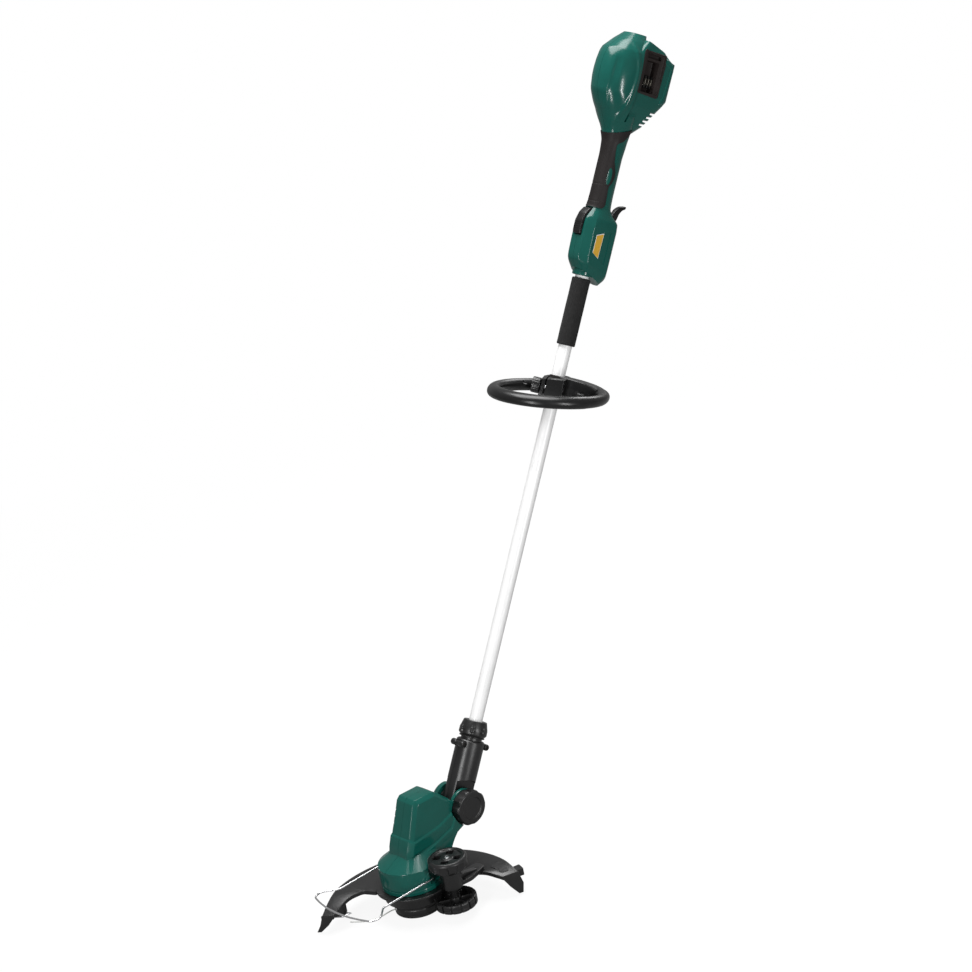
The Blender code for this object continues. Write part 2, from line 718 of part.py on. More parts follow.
def build_controls(shaft):
    """Switch, control module, trigger with its pin, and the lock-off button with its spring."""
    box(
        "control_module",
        (-MODULE_HALF, MODULE_TOP_SIDE, BAY_START),
        (MODULE_HALF, MODULE_TOP_SIDE + MODULE_WIDTH, BAY_START + MODULE_LENGTH),
        BOARD,
        shaft,
        bevel=0.001,
    )
    switch = box(
        "trigger_switch",
        (-SWITCH_HALF, SWITCH_TOP_SIDE, SWITCH_START),
        (SWITCH_HALF, SWITCH_UNDERSIDE, SWITCH_START + SWITCH_LENGTH),
        BLACK,
        shaft,
    )
    y, z = TRIGGER_PIVOT
    plunger = rod(
        "plunger",
        0.0025,
        (0, SWITCH_UNDERSIDE - 0.002, z + 0.006),
        (0, y - 0.0065, z + 0.006),
        None,
        shaft,
    )
    join(switch, plunger)
    hub = [(0.0052 * cos(radians(a)), 0.0052 * sin(radians(a))) for a in range(150, 331, 30)]
    blade = [
        (0.009, -0.001),
        (0.014, 0.002),
        (0.0175, 0.008),
        (0.0195, 0.017),
        (0.0245, 0.0245),
        (0.0320, 0.0285),
        (0.0315, 0.0330),
        (0.0200, 0.0300),
        (0.0120, 0.0240),
        (0.0060, 0.0120),
        (-0.0015, 0.0060),
    ]
    half = TRIGGER_WIDTH / 2
    trigger = prism("trigger", hub + blade, -half, half, BLACK, shaft, at=(0, y, z))
    hole = rod("trigger_hole", TRIGGER_PIN_RADIUS + SEAT_GAP, (-0.02, y, z), (0.02, y, z), None, shaft, 12)
    cut(trigger, hole)
    rod(
        "trigger_pin",
        TRIGGER_PIN_RADIUS,
        (-TRIGGER_PIN_HALF, y, z),
        (TRIGGER_PIN_HALF, y, z),
        STEEL,
        shaft,
        12,
    )
    start, end = LOCK_START, LOCK_START + LOCK_LENGTH
    outline = [
        (LOCK_SEAT, start),
        (-0.0350, start + 0.001),
        (-0.0365, start + 0.006),
        (-0.0365, start + 0.022),
        (-0.0320, start + 0.036),
        (-0.0245, end - 0.001),
        (LOCK_SEAT, end),
    ]
    half = LOCK_WIDTH / 2
    button = prism("lock_off_button", outline, -half, half, BLACK, shaft)
    middle = start + LOCK_LENGTH * 0.42
    bore_floor = LOCK_SEAT - LOCK_BORE_DEPTH
    bore = rod(
        "lock_off_bore",
        LOCK_BORE_RADIUS,
        (0, LOCK_FLOOR, middle),
        (0, bore_floor, middle),
        None,
        shaft,
        16,
    )
    cut(button, bore)
    spring_top = bore_floor + LOCK_TRAVEL + SEAT_GAP
    coil(
        "lock_off_spring",
        (0, LOCK_FLOOR - SEAT_GAP, middle),
        (0, spring_top, middle),
        0.003,
        0.0004,
        6,
        shaft,
    )


def coil(name, start, end, radius, wire_radius, turns, parent, at=(0, 0, 0)):
    """A compression spring between two points."""
    start, end = Vector(start), Vector(end)
    axis = (end - start).normalized()
    side = axis.orthogonal().normalized()
    other = axis.cross(side)
    start = start + axis * wire_radius
    end = end - axis * wire_radius
    steps = 8
    points = []
    for i in range(turns * steps + 1):
        angle = 2 * pi * i / steps
        place = start.lerp(end, i / (turns * steps))
        points.append(place + radius * (side * cos(angle) + other * sin(angle)))
    return wire(name, points, wire_radius, STEEL, parent, at, resolution=1)


def build_loop(shaft):
    """Closed loop handle on its clamp, with the bush, the cross bolt and the clamp knob."""
    loop = frame("loop_frame", shaft, (0, 0, LOOP_STATION), (0, 0, radians(LOOP_SWIVEL)))
    bush_radius = TUBE_RADIUS + SEAT_GAP + LOOP_BUSH_WALL
    bush = ring_profile(
        bush_radius,
        TUBE_RADIUS + SEAT_GAP,
        -LOOP_CLAMP_BELOW - 0.001,
        LOOP_CLAMP_ABOVE + 0.001,
    )
    lathe("loop_bush", bush, RUBBER, loop, 24)
    rise_x = tan(radians(LOOP_TILT)) * sin(radians(LOOP_SWIVEL))
    rise_y = tan(radians(LOOP_TILT)) * cos(radians(LOOP_SWIVEL))
    tilt = Matrix(((1, 0, 0, 0), (0, 1, 0, 0), (rise_x, rise_y, 1, 0), (0, 0, 0, 1)))
    handle = make("loop_handle", loop_ring(tilt), BLACK, loop)
    clamp = [(LOOP_CLAMP_RIGHT, 0.002), (LOOP_CLAMP_RIGHT, -LOOP_CLAMP_FRONT + 0.003)]
    clamp += [(LOOP_CLAMP_RIGHT - 0.003, -LOOP_CLAMP_FRONT), (-LOOP_CLAMP_LEFT + 0.003, -LOOP_CLAMP_FRONT)]
    clamp += [(-LOOP_CLAMP_LEFT, -LOOP_CLAMP_FRONT + 0.003), (-LOOP_CLAMP_LEFT, 0.002)]
    for i in range(9):
        angle = pi - pi * (i + 0.5) / 9
        clamp.append((LOOP_CLAMP_RADIUS * cos(angle), LOOP_CLAMP_RADIUS * sin(angle)))
    rings = [[tilt @ Vector((x, y, z)) for x, y in clamp] for z in (-LOOP_CLAMP_BELOW, LOOP_CLAMP_ABOVE)]
    body = loft("clamp_body", rings, None, loop)
    web_rings = []
    for i in range(9):
        angle = radians(4 + 7.5 * i)
        fade = i / 8
        low = -LOOP_CLAMP_BELOW * (1 - fade) - 0.0080 * fade
        high = (LOOP_CLAMP_ABOVE + 0.0020) * (1 - fade) + 0.0080 * fade
        outline = [(-0.010, low), (0.007, low), (0.007, high), (-0.010, high)]
        ring = []
        for across, height in outline:
            reach = LOOP_RADIUS + across
            ring.append(tilt @ Vector((reach * sin(angle), reach * cos(angle) - LOOP_REACH, height)))
        web_rings.append(ring)
    web = loft("loop_web", web_rings, None, loop)
    bore = rod("clamp_bore", bush_radius + SEAT_GAP, (0, 0, -0.05), (0, 0, 0.05), None, loop, 24)
    slit_at = -bush_radius + 0.001
    slit = box("clamp_slit", (slit_at - LOOP_SLIT, -0.06, -0.05), (slit_at, 0, 0.05), None, loop)
    bolt_y, bolt_z = -LOOP_BOLT_REACH, -LOOP_BOLT_DROP
    knob_start = LOOP_CLAMP_LEFT + SEAT_GAP
    head_start = LOOP_CLAMP_RIGHT - 0.0045
    bolt_hole = loop_rod("loop_bolt_hole", LOOP_BOLT_RADIUS + SEAT_GAP, -0.05, 0.05, None, loop, 16)
    head_room = loop_rod("loop_head_room", LOOP_BOLT_RADIUS + 0.0030, head_start, 0.05, None, loop, 16)
    knob_room = loop_rod(
        "loop_knob_room",
        LOOP_KNOB_RADIUS + RUN_GAP,
        -LOOP_CLAMP_LEFT - LOOP_KNOB_LENGTH - 0.002,
        -LOOP_CLAMP_LEFT,
        None,
        loop,
        28,
    )
    join(handle, body, web)
    cut(handle, bore, slit, bolt_hole, head_room, knob_room)
    bolt = loop_rod(
        "loop_bolt",
        LOOP_BOLT_RADIUS,
        -knob_start - LOOP_KNOB_LENGTH + 0.002,
        head_start + 0.001,
        STEEL,
        loop,
        16,
    )
    head = loop_rod(
        "loop_bolt_head",
        LOOP_BOLT_RADIUS + 0.0024,
        head_start + SEAT_GAP,
        head_start + 0.0040,
        None,
        loop,
        6,
    )
    join(bolt, head)
    profile = [
        (0, LOOP_KNOB_LENGTH),
        (LOOP_KNOB_RADIUS - 0.001, LOOP_KNOB_LENGTH),
        (LOOP_KNOB_RADIUS, LOOP_KNOB_LENGTH - 0.001),
        (LOOP_KNOB_RADIUS, 0.001),
        (LOOP_KNOB_RADIUS - 0.001, 0),
        (LOOP_BOLT_RADIUS + SEAT_GAP, 0),
        (LOOP_BOLT_RADIUS + SEAT_GAP, LOOP_KNOB_LENGTH - 0.0015),
        (0, LOOP_KNOB_LENGTH - 0.0015),
    ]
    place = (-knob_start, bolt_y, bolt_z)
    turn = (0, -pi / 2, 0)
    knob = lathe("loop_clamp_knob", profile, BLACK, loop, 24, closed=False, at=place, turn=turn)
    teeth = flutes(
        "loop_knob_flutes",
        12,
        0.0020,
        LOOP_KNOB_RADIUS + 0.0008,
        -0.01,
        0.03,
        loop,
        place,
        turn,
        8,
    )
    cut(knob, teeth)


def loop_rod(name, radius, start, end, finish, loop, steps):
    """A round bar on the line of the clamp's cross bolt."""
    y, z = -LOOP_BOLT_REACH, -LOOP_BOLT_DROP
    return rod(name, radius, (start, y, z), (end, y, z), finish, loop, steps)


def loop_ring(tilt):
    """The round tube of the loop handle."""
    bm = bmesh.new()
    sides, turns = 10, 44
    rings = []
    for i in range(turns):
        angle = 2 * pi * i / turns
        ring = []
        for j in range(sides):
            roll = 2 * pi * j / sides
            reach = LOOP_RADIUS + LOOP_TUBE_RADIUS * cos(roll)
            point = Vector(
                (reach * sin(angle), reach * cos(angle) - LOOP_REACH, LOOP_TUBE_RADIUS * sin(roll))
            )
            ring.append(bm.verts.new(tilt @ point))
        rings.append(ring)
    for i in range(turns):
        first, second = rings[i], rings[(i + 1) % turns]
        for j in range(sides):
            k = (j + 1) % sides
            bm.faces.new((first[j], first[k], second[k], second[j]))
    return to_mesh("loop_handle", bm)


def sleeve_half(side, name, shaft):
    """One half of the pivot sleeve: round above, narrowed to a tongue between the head's ears."""
    sleeve = rod(name, SLEEVE_RADIUS, (0, 0, 0), (0, 0, SLEEVE_TOP - 0.002), BLACK, shaft, 32)
    rim = rod(
        name + "_rim",
        SLEEVE_RADIUS,
        (0, 0, SLEEVE_TOP - 0.0025),
        (0, 0, SLEEVE_TOP),
        None,
        shaft,
        32,
        end_radius=SLEEVE_RADIUS - 0.002,
    )
    neck = rod(name + "_neck", NECK_RADIUS, (0, 0, SLEEVE_TOP - 0.005), (0, 0, NECK_TOP), None, shaft, 32)
    tongue = rod(
        name + "_tongue",
        SLEEVE_RADIUS,
        (-TONGUE_HALF, 0, 0),
        (TONGUE_HALF, 0, 0),
        None,
        shaft,
        32,
    )
    join(sleeve, rim, neck, tongue)
    for front in (-1, 1):
        place = front * (SLEEVE_RADIUS + 0.002)
        boss = rod(
            name + "_boss_" + str(front),
            BOSS_RADIUS,
            (-0.0125, place, BOSS_STATION),
            (0.0125, place, BOSS_STATION),
            None,
            shaft,
            14,
        )
        join(sleeve, boss)
    notch_far = side * 0.04
    arch = rod(name + "_arch", ARCH_RADIUS, (side * TONGUE_HALF, 0, 0), (notch_far, 0, 0), None, shaft, 40)
    bore = rod(
        name + "_bore",
        TUBE_RADIUS + RUN_GAP,
        (0, 0, TUBE_START - SEAT_GAP),
        (0, 0, NECK_TOP + 0.01),
        None,
        shaft,
        32,
    )
    bolt = rod(name + "_bolt", PIVOT_BOLT_RADIUS + SEAT_GAP, (-0.04, 0, 0), (0.04, 0, 0), None, shaft, 16)
    lead = rod(
        name + "_lead",
        LEAD_RADIUS + 0.002,
        (0, 0, 0.012),
        (0, 0, TUBE_START + 0.005),
        None,
        shaft,
        12,
    )
    cut(sleeve, arch, bore, bolt, lead)
    for front in (-1, 1):
        place = front * (SLEEVE_RADIUS + 0.002)
        hole = rod(
            name + "_screw_" + str(front),
            SLEEVE_SCREW_RADIUS + SEAT_GAP,
            (-0.02, place, BOSS_STATION),
            (0.02, place, BOSS_STATION),
            None,
            shaft,
            10,
        )
        cut(sleeve, hole)
    seam = side * SEAM_GAP / 2
    low, high = sorted((seam, side * 0.05))
    keep(sleeve, box(name + "_half", (low, -0.05, -0.05), (high, 0.05, 0.2), None, shaft))


def build_sleeve(shaft):
    sleeve_half(1, "pivot_sleeve_left", shaft)
    sleeve_half(-1, "pivot_sleeve_right", shaft)
    for front, label in ((-1, "front"), (1, "rear")):
        place = front * (SLEEVE_RADIUS + 0.002)
        screw = rod(
            "sleeve_screw_" + label,
            SLEEVE_SCREW_RADIUS,
            (-0.0125, place, BOSS_STATION),
            (0.0130, place, BOSS_STATION),
            STEEL,
            shaft,
            10,
        )
        head = rod(
            "sleeve_screw_head_" + label,
            SLEEVE_SCREW_RADIUS + 0.0015,
            (0.0125 + SEAT_GAP, place, BOSS_STATION),
            (0.0145, place, BOSS_STATION),
            None,
            shaft,
            12,
        )
        join(screw, head)
    collet_start = NECK_TOP + SEAT_GAP
    collet_end = collet_start + COLLET_LENGTH
    profile = [
        (TUBE_RADIUS + 0.0022, collet_end),
        (NECK_RADIUS - 0.0005, collet_start + 0.006),
        (NECK_RADIUS - 0.0005, collet_start),
        (TUBE_RADIUS + RUN_GAP, collet_start),
        (TUBE_RADIUS + RUN_GAP, collet_end),
    ]
    lathe("clamp_collet", profile, BLACK, shaft, 24)
    nut_end = NUT_START + NUT_LENGTH
    thread = NECK_RADIUS + RUN_GAP
    nut_profile = [
        (NUT_RADIUS - 0.0042, nut_end),
        (NUT_RADIUS - 0.0008, nut_end - 0.011),
        (NUT_RADIUS, nut_end - 0.015),
        (NUT_RADIUS - 0.0004, NUT_START + 0.006),
        (NUT_RADIUS - 0.002, NUT_START),
        (thread, NUT_START),
        (thread, collet_start + 0.007),
        (TUBE_RADIUS + 0.0030, collet_end + SEAT_GAP),
        (TUBE_RADIUS + RUN_GAP, collet_end + SEAT_GAP),
        (TUBE_RADIUS + RUN_GAP, nut_end),
    ]
    nut = lathe("clamp_nut", nut_profile, BLACK, shaft, 32)
    grooves = flutes("nut_flutes", 8, 0.006, NUT_RADIUS + 0.0045, NUT_START + 0.012, nut_end + 0.01, shaft)
    cut(nut, grooves)


def build_pivot(shaft):
    """The pivot bolt and its knob on the user's left."""
    knob_start = EAR_OUTER + RUN_GAP
    knob_end = knob_start + PIVOT_KNOB_LENGTH
    bolt = rod(
        "pivot_bolt",
        PIVOT_BOLT_RADIUS,
        (-EAR_OUTER - 0.003, 0, 0),
        (knob_end - 0.004, 0, 0),
        STEEL,
        shaft,
        16,
    )
    head = rod(
        "pivot_bolt_head",
        PIVOT_BOLT_RADIUS + 0.004,
        (-EAR_OUTER - SEAT_GAP - 0.005, 0, 0),
        (-EAR_OUTER - SEAT_GAP, 0, 0),
        None,
        shaft,
        6,
    )
    join(bolt, head)
    radius = PIVOT_KNOB_RADIUS
    length = PIVOT_KNOB_LENGTH
    bore = PIVOT_BOLT_RADIUS + SEAT_GAP
    profile = [
        (0, length - 0.0015),
        (radius - 0.0110, length - 0.0015),
        (radius - 0.0100, length),
        (radius - 0.0030, length),
        (radius, length - 0.0030),
        (radius, 0.0025),
        (radius - 0.0025, 0),
        (bore, 0),
        (bore, length - 0.0035),
        (0, length - 0.0035),
    ]
    turn = (0, pi / 2, 0)
    place = (knob_start, 0, 0)
    knob = lathe("pivot_knob", profile, BLACK, shaft, 36, closed=False, at=place, turn=turn)
    grooves = flutes(
        "pivot_knob_flutes",
        12,
        0.0045,
        radius + 0.0030,
        -0.01,
        length + 0.01,
        shaft,
        place,
        turn,
        8,
    )
    cut(knob, grooves)


BODY_OUTLINE = [
    (-0.030, SKIRT_BOTTOM),
    (0.048, SKIRT_BOTTOM),
    (0.060, 0.062),
    (0.071, 0.086),
    (0.078, 0.095),
    (0.086, 0.103),
    (0.099, 0.108),
    (0.130, 0.118),
    (0.118, 0.160),
    (0.095, 0.158),
    (0.070, 0.1225),
    (0.034, 0.1130),
    (0.003, 0.1060),
    (-0.012, 0.1050),
    (-0.024, 0.1035),
    (-0.032, 0.092),
]
TOWER_OUTLINE = [
    (-0.003, 0.112),
    (0.0030, 0.135),
    (0.0110, 0.1615),
    (0.0200, 0.1905),
    (0.0580, 0.1890),
    (0.0680, 0.1810),
    (0.0850, 0.1640),
    (0.1000, 0.1450),
    (0.0600, 0.128),
    (0.0500, 0.110),
]
LEDGE_OUTLINE = [
    (-0.0145, 0.1015),
    (-0.0050, 0.1270),
    (-0.0025, 0.1375),
    (0.0060, 0.1330),
    (0.0300, 0.1365),
    (0.0540, 0.1395),
    (0.0850, 0.1490),
    (0.0920, 0.1200),
    (0.0400, 0.1030),
]


def vent_front(height):
    """Where the tower's front edge is at a height, read from its outline."""
    edge = TOWER_OUTLINE[:4]
    for (y, z), (next_y, next_z) in zip(edge, edge[1:]):
        if z <= height <= next_z:
            return y + (next_y - y) * (height - z) / (next_z - z)
    return edge[-1][0]


def motor_housing(side, name):
    """One moulded half of the motor housing: skirt, body, tower and one ear of the pivot."""
    skirt_profile = [
        (0, 0.1060),
        (0.024, 0.1050),
        (0.038, 0.0990),
        (0.048, 0.0890),
        (SKIRT_RADIUS + 0.0015, 0.0760),
        (SKIRT_RADIUS + 0.0010, 0.0640),
        (SKIRT_RADIUS, 0.0560),
        (SKIRT_RADIUS, SKIRT_BOTTOM),
        (0, SKIRT_BOTTOM),
    ]
    housing = lathe(name, skirt_profile, GREEN, None, 40, closed=False)
    body = prism(name + "_body", BODY_OUTLINE, -side * 0.002, side * BODY_HALF_WIDTH, None, None, 0.006)
    ledge = prism(
        name + "_ledge",
        LEDGE_OUTLINE,
        -side * 0.003,
        side * (BODY_HALF_WIDTH - 0.0020),
        None,
        None,
        0.0025,
    )
    tower = prism(name + "_tower", TOWER_OUTLINE, -side * 0.004, side * TOWER_HALF_WIDTH, None, None, 0.0065)
    pivot = (0, PIVOT_BACK, PIVOT_HEIGHT)
    ear_inner = TONGUE_HALF + RUN_GAP
    ear = rod(
        name + "_ear",
        EAR_RADIUS,
        (side * (ear_inner - 0.004), *pivot[1:]),
        (side * EAR_OUTER, *pivot[1:]),
        None,
        None,
        40,
    )
    boss = rod(
        name + "_bail_boss",
        0.012,
        (side * 0.02, 0, BAIL_HEIGHT),
        (side * BAIL_BOSS_END, 0, BAIL_HEIGHT),
        None,
        None,
        24,
    )
    join(housing, body, ledge, tower, ear, boss)
    slot = rod(
        name + "_slot",
        SLEEVE_RADIUS + RUN_GAP + 0.001,
        (-ear_inner, *pivot[1:]),
        (ear_inner, *pivot[1:]),
        None,
        None,
        40,
    )
    fan = prism(
        name + "_fan",
        [
            (PIVOT_BACK - 0.0245, PIVOT_HEIGHT),
            (PIVOT_BACK + 0.0055, PIVOT_HEIGHT - 0.0245),
            (PIVOT_BACK + 0.05, PIVOT_HEIGHT - 0.0138),
            (0.18, 0.25),
            (0.089, 0.25),
        ],
        -ear_inner,
        ear_inner,
        None,
        None,
    )
    outside = prism(
        name + "_outside",
        arc_points(PIVOT_BACK, PIVOT_HEIGHT, EAR_RADIUS + 0.0003, -20, 90, 8) + [
            (0.0895, 0.25),
            (0.20, 0.25),
            (0.20, 0.12),
        ],
        side * TOWER_HALF_WIDTH * 0.5,
        side * 0.06,
        None,
        None,
    )
    bolt = rod(
        name + "_bolt",
        PIVOT_BOLT_RADIUS + SEAT_GAP,
        (-0.05, *pivot[1:]),
        (0.05, *pivot[1:]),
        None,
        None,
        16,
    )
    recess = rod(
        name + "_recess",
        EAR_RADIUS + 0.0008,
        (side * EAR_OUTER, *pivot[1:]),
        (side * 0.06, *pivot[1:]),
        None,
        None,
        40,
    )
    relief = rod(
        name + "_relief",
        WHEEL_KNOB_RADIUS + 0.0012,
        (side * WHEEL_CENTRE[0], WHEEL_CENTRE[1], KNOB_RELIEF_BOTTOM),
        (side * WHEEL_CENTRE[0], WHEEL_CENTRE[1], 0.13),
        None,
        None,
        40,
    )
    motor_back = GEAR_MODULE * (GEAR_TEETH + PINION_TEETH) / 2
    motor = rod(
        name + "_motor",
        MOTOR_RADIUS + SEAT_GAP,
        (0, motor_back, MOTOR_BOTTOM - SEAT_GAP),
        (0, motor_back, MOTOR_BOTTOM + MOTOR_LENGTH + SEAT_GAP),
        None,
        None,
        32,
    )
    gear_low, gear_high = GEAR_BOTTOM - RUN_GAP, GEAR_BOTTOM + GEAR_THICKNESS + RUN_GAP
    gear_room = GEAR_MODULE * (GEAR_TEETH / 2 + 1) + 0.0015
    gear = rod(name + "_gear", gear_room, (0, 0, gear_low), (0, 0, gear_high), None, None, 40)
    pinion_room = GEAR_MODULE * (PINION_TEETH / 2 + 1) + 0.0015
    pinion = rod(
        name + "_pinion",
        pinion_room,
        (0, motor_back, gear_low),
        (0, motor_back, gear_high),
        None,
        None,
        24,
    )
    shaft_hole = rod(
        name + "_shaft",
        0.005,
        (0, motor_back, gear_low),
        (0, motor_back, MOTOR_BOTTOM + 0.005),
        None,
        None,
        16,
    )
    spindle = rod(
        name + "_spindle",
        SPINDLE_RADIUS + RUN_GAP,
        (0, 0, 0.04),
        (0, 0, SPINDLE_TOP + 0.002),
        None,
        None,
        20,
    )
    lower = rod(
        name + "_lower",
        BEARING_RADIUS + SEAT_GAP,
        (0, 0, 0.04),
        (0, 0, LOWER_BEARING_BOTTOM + BEARING_HEIGHT + SEAT_GAP),
        None,
        None,
        24,
    )
    upper = rod(
        name + "_upper",
        BEARING_RADIUS + SEAT_GAP,
        (0, 0, UPPER_BEARING_BOTTOM - SEAT_GAP),
        (0, 0, UPPER_BEARING_BOTTOM + BEARING_HEIGHT + SEAT_GAP),
        None,
        None,
        24,
    )
    pin_hole = rod(
        name + "_bail_hole",
        BAIL_WIRE_RADIUS + SEAT_GAP,
        (side * BAIL_PIN_END, 0, BAIL_HEIGHT),
        (side * 0.07, 0, BAIL_HEIGHT),
        None,
        None,
        10,
    )
    inside = (bolt, motor, gear, pinion, shaft_hole, spindle, lower, upper, pin_hole)
    cut(housing, slot, fan, outside, recess, relief, *inside)
    if side < 0:
        for i in range(VENT_COUNT):
            height = VENT_TOP - i * VENT_PITCH
            front = vent_front(height)
            low = (-TOWER_HALF_WIDTH - 0.01, front - 0.010, height - VENT_WIDTH)
            high = (-TOWER_HALF_WIDTH + VENT_DEPTH, front + VENT_LENGTH, height)
            cut(housing, box(name + "_vent_" + str(i), low, high, None, None))
    seam = side * SEAM_GAP / 2
    low, high = sorted((seam, side * 0.08))
    keep(housing, box(name + "_half", (low, -0.08, SKIRT_BOTTOM), (high, 0.16, 0.22), None, None))


def arc_points(centre_y, centre_z, radius, start, end, count):
    """Points on an arc in the YZ plane, angles in degrees from +Y towards +Z."""
    points = []
    for i in range(count):
        angle = radians(start + (end - start) * i / (count - 1))
        points.append((centre_y + radius * cos(angle), centre_z + radius * sin(angle)))
    return points


SPINDLE_TOP = UPPER_BEARING_BOTTOM + BEARING_HEIGHT
BAIL_BOSS_END = BAIL_HALF_WIDTH - 2 * BAIL_WIRE_RADIUS
BAIL_PIN_END = BAIL_HALF_WIDTH - 0.013


def gear_outline(teeth, phase):
    """A spur gear's outline, its teeth tapering to the tip, with backlash left at the pitch line."""
    pitch = GEAR_MODULE * teeth / 2
    root = pitch - 1.15 * GEAR_MODULE
    tip = pitch + 0.85 * GEAR_MODULE
    step = 2 * pi / teeth
    points = []
    for i in range(teeth):
        middle = i * step + phase
        for radius, share in ((root, -0.31), (tip, -0.09), (tip, 0.09), (root, 0.31)):
            angle = middle + share * step
            points.append((radius * cos(angle), radius * sin(angle)))
    return points


def gear(name, teeth, phase, low, high, at):
    bm = bmesh.new()
    face = bm.faces.new([bm.verts.new((x, y, low)) for x, y in gear_outline(teeth, phase)])
    pushed = bmesh.ops.extrude_face_region(bm, geom=[face])
    moved = [v for v in pushed["geom"] if isinstance(v, bmesh.types.BMVert)]
    bmesh.ops.translate(bm, vec=(0, 0, high - low), verts=moved)
    return make(name, to_mesh(name, bm, smooth=False), STEEL, None, at)


def build_drive():
    """Motor, its pinion, the drive gear on the spindle, and the two bearings."""
    motor_back = GEAR_MODULE * (GEAR_TEETH + PINION_TEETH) / 2
    rod(
        "motor_can",
        MOTOR_RADIUS,
        (0, motor_back, MOTOR_BOTTOM),
        (0, motor_back, MOTOR_BOTTOM + MOTOR_LENGTH),
        STEEL,
        None,
        32,
    )
    pinion_shaft = MOTOR_BOTTOM - SEAT_GAP
    pinion_at = (0, motor_back, 0)
    pinion = gear(
        "motor_pinion",
        PINION_TEETH,
        -pi / 2 + pi / PINION_TEETH,
        GEAR_BOTTOM,
        GEAR_BOTTOM + GEAR_THICKNESS,
        pinion_at,
    )
    shank = rod(
        "pinion_shank",
        0.004,
        (0, motor_back, GEAR_BOTTOM + 0.001),
        (0, motor_back, pinion_shaft),
        None,
        None,
        16,
    )
    join(pinion, shank)
    wheel = gear("drive_gear", GEAR_TEETH, pi / 2, GEAR_BOTTOM, GEAR_BOTTOM + GEAR_THICKNESS, (0, 0, 0))
    cut(wheel, rod("gear_bore", SPINDLE_RADIUS + SEAT_GAP, (0, 0, 0.05), (0, 0, 0.07), None, None, 20))
    rod("drive_spindle", SPINDLE_RADIUS, (0, 0, SPOOL_TOP + SEAT_GAP), (0, 0, SPINDLE_TOP), STEEL, None, 20)
    for label, bottom in (("lower", LOWER_BEARING_BOTTOM), ("upper", UPPER_BEARING_BOTTOM)):
        profile = ring_profile(BEARING_RADIUS, SPINDLE_RADIUS + SEAT_GAP, bottom, bottom + BEARING_HEIGHT)
        lathe("bearing_" + label, profile, STEEL, None, 24)


# The wings' inner edge: angle about the outer arc's centre, and the distance from it. The wings are
# so much narrower than the arc, and the middle is hidden under the ring.
GUARD_INNER_EDGE = [
    (GUARD_LEFT_END, GUARD_ARC_RADIUS - 0.0125),
    (-61.3, GUARD_ARC_RADIUS - 0.0235),
    (-55.3, GUARD_ARC_RADIUS - 0.0310),
    (-49.3, GUARD_ARC_RADIUS - 0.0415),
    (-45.3, GUARD_ARC_RADIUS - 0.0485),
    (-42.8, GUARD_ARC_RADIUS - 0.0705),
    (-27.3, GUARD_ARC_RADIUS - 0.0705),
    (-17.3, GUARD_ARC_OFFSET + 0.0345),
    (2.7, GUARD_ARC_OFFSET + 0.0470),
    (22.7, GUARD_ARC_OFFSET + 0.0345),
    (32.7, GUARD_ARC_RADIUS - 0.0705),
    (48.7, GUARD_ARC_RADIUS - 0.0705),
    (52.7, GUARD_ARC_RADIUS - 0.0650),
    (58.7, GUARD_ARC_RADIUS - 0.0580),
    (68.7, GUARD_ARC_RADIUS - 0.0435),
    (75.7, GUARD_ARC_RADIUS - 0.0325),
    (GUARD_RIGHT_END, GUARD_ARC_RADIUS - 0.0235),
]


def guard_height(angle):
    """Height of the plate's top, which droops towards the tips."""
    past = max(0.0, -angle - GUARD_DROOP_LEFT, angle - GUARD_DROOP_RIGHT) / 20
    return GUARD_TOP - GUARD_TIP_DROP * past**2


def guard_reach(angle):
    """The outer edge, which flares a little where the left wing droops."""
    past = max(0.0, -angle - GUARD_DROOP_LEFT - 5, angle - GUARD_DROOP_RIGHT - 2) / 15
    return GUARD_ARC_RADIUS + 0.006 * past**2


def guard_point(angle, reach, height):
    return (reach * sin(radians(angle)), reach * cos(radians(angle)) - GUARD_ARC_OFFSET, height)


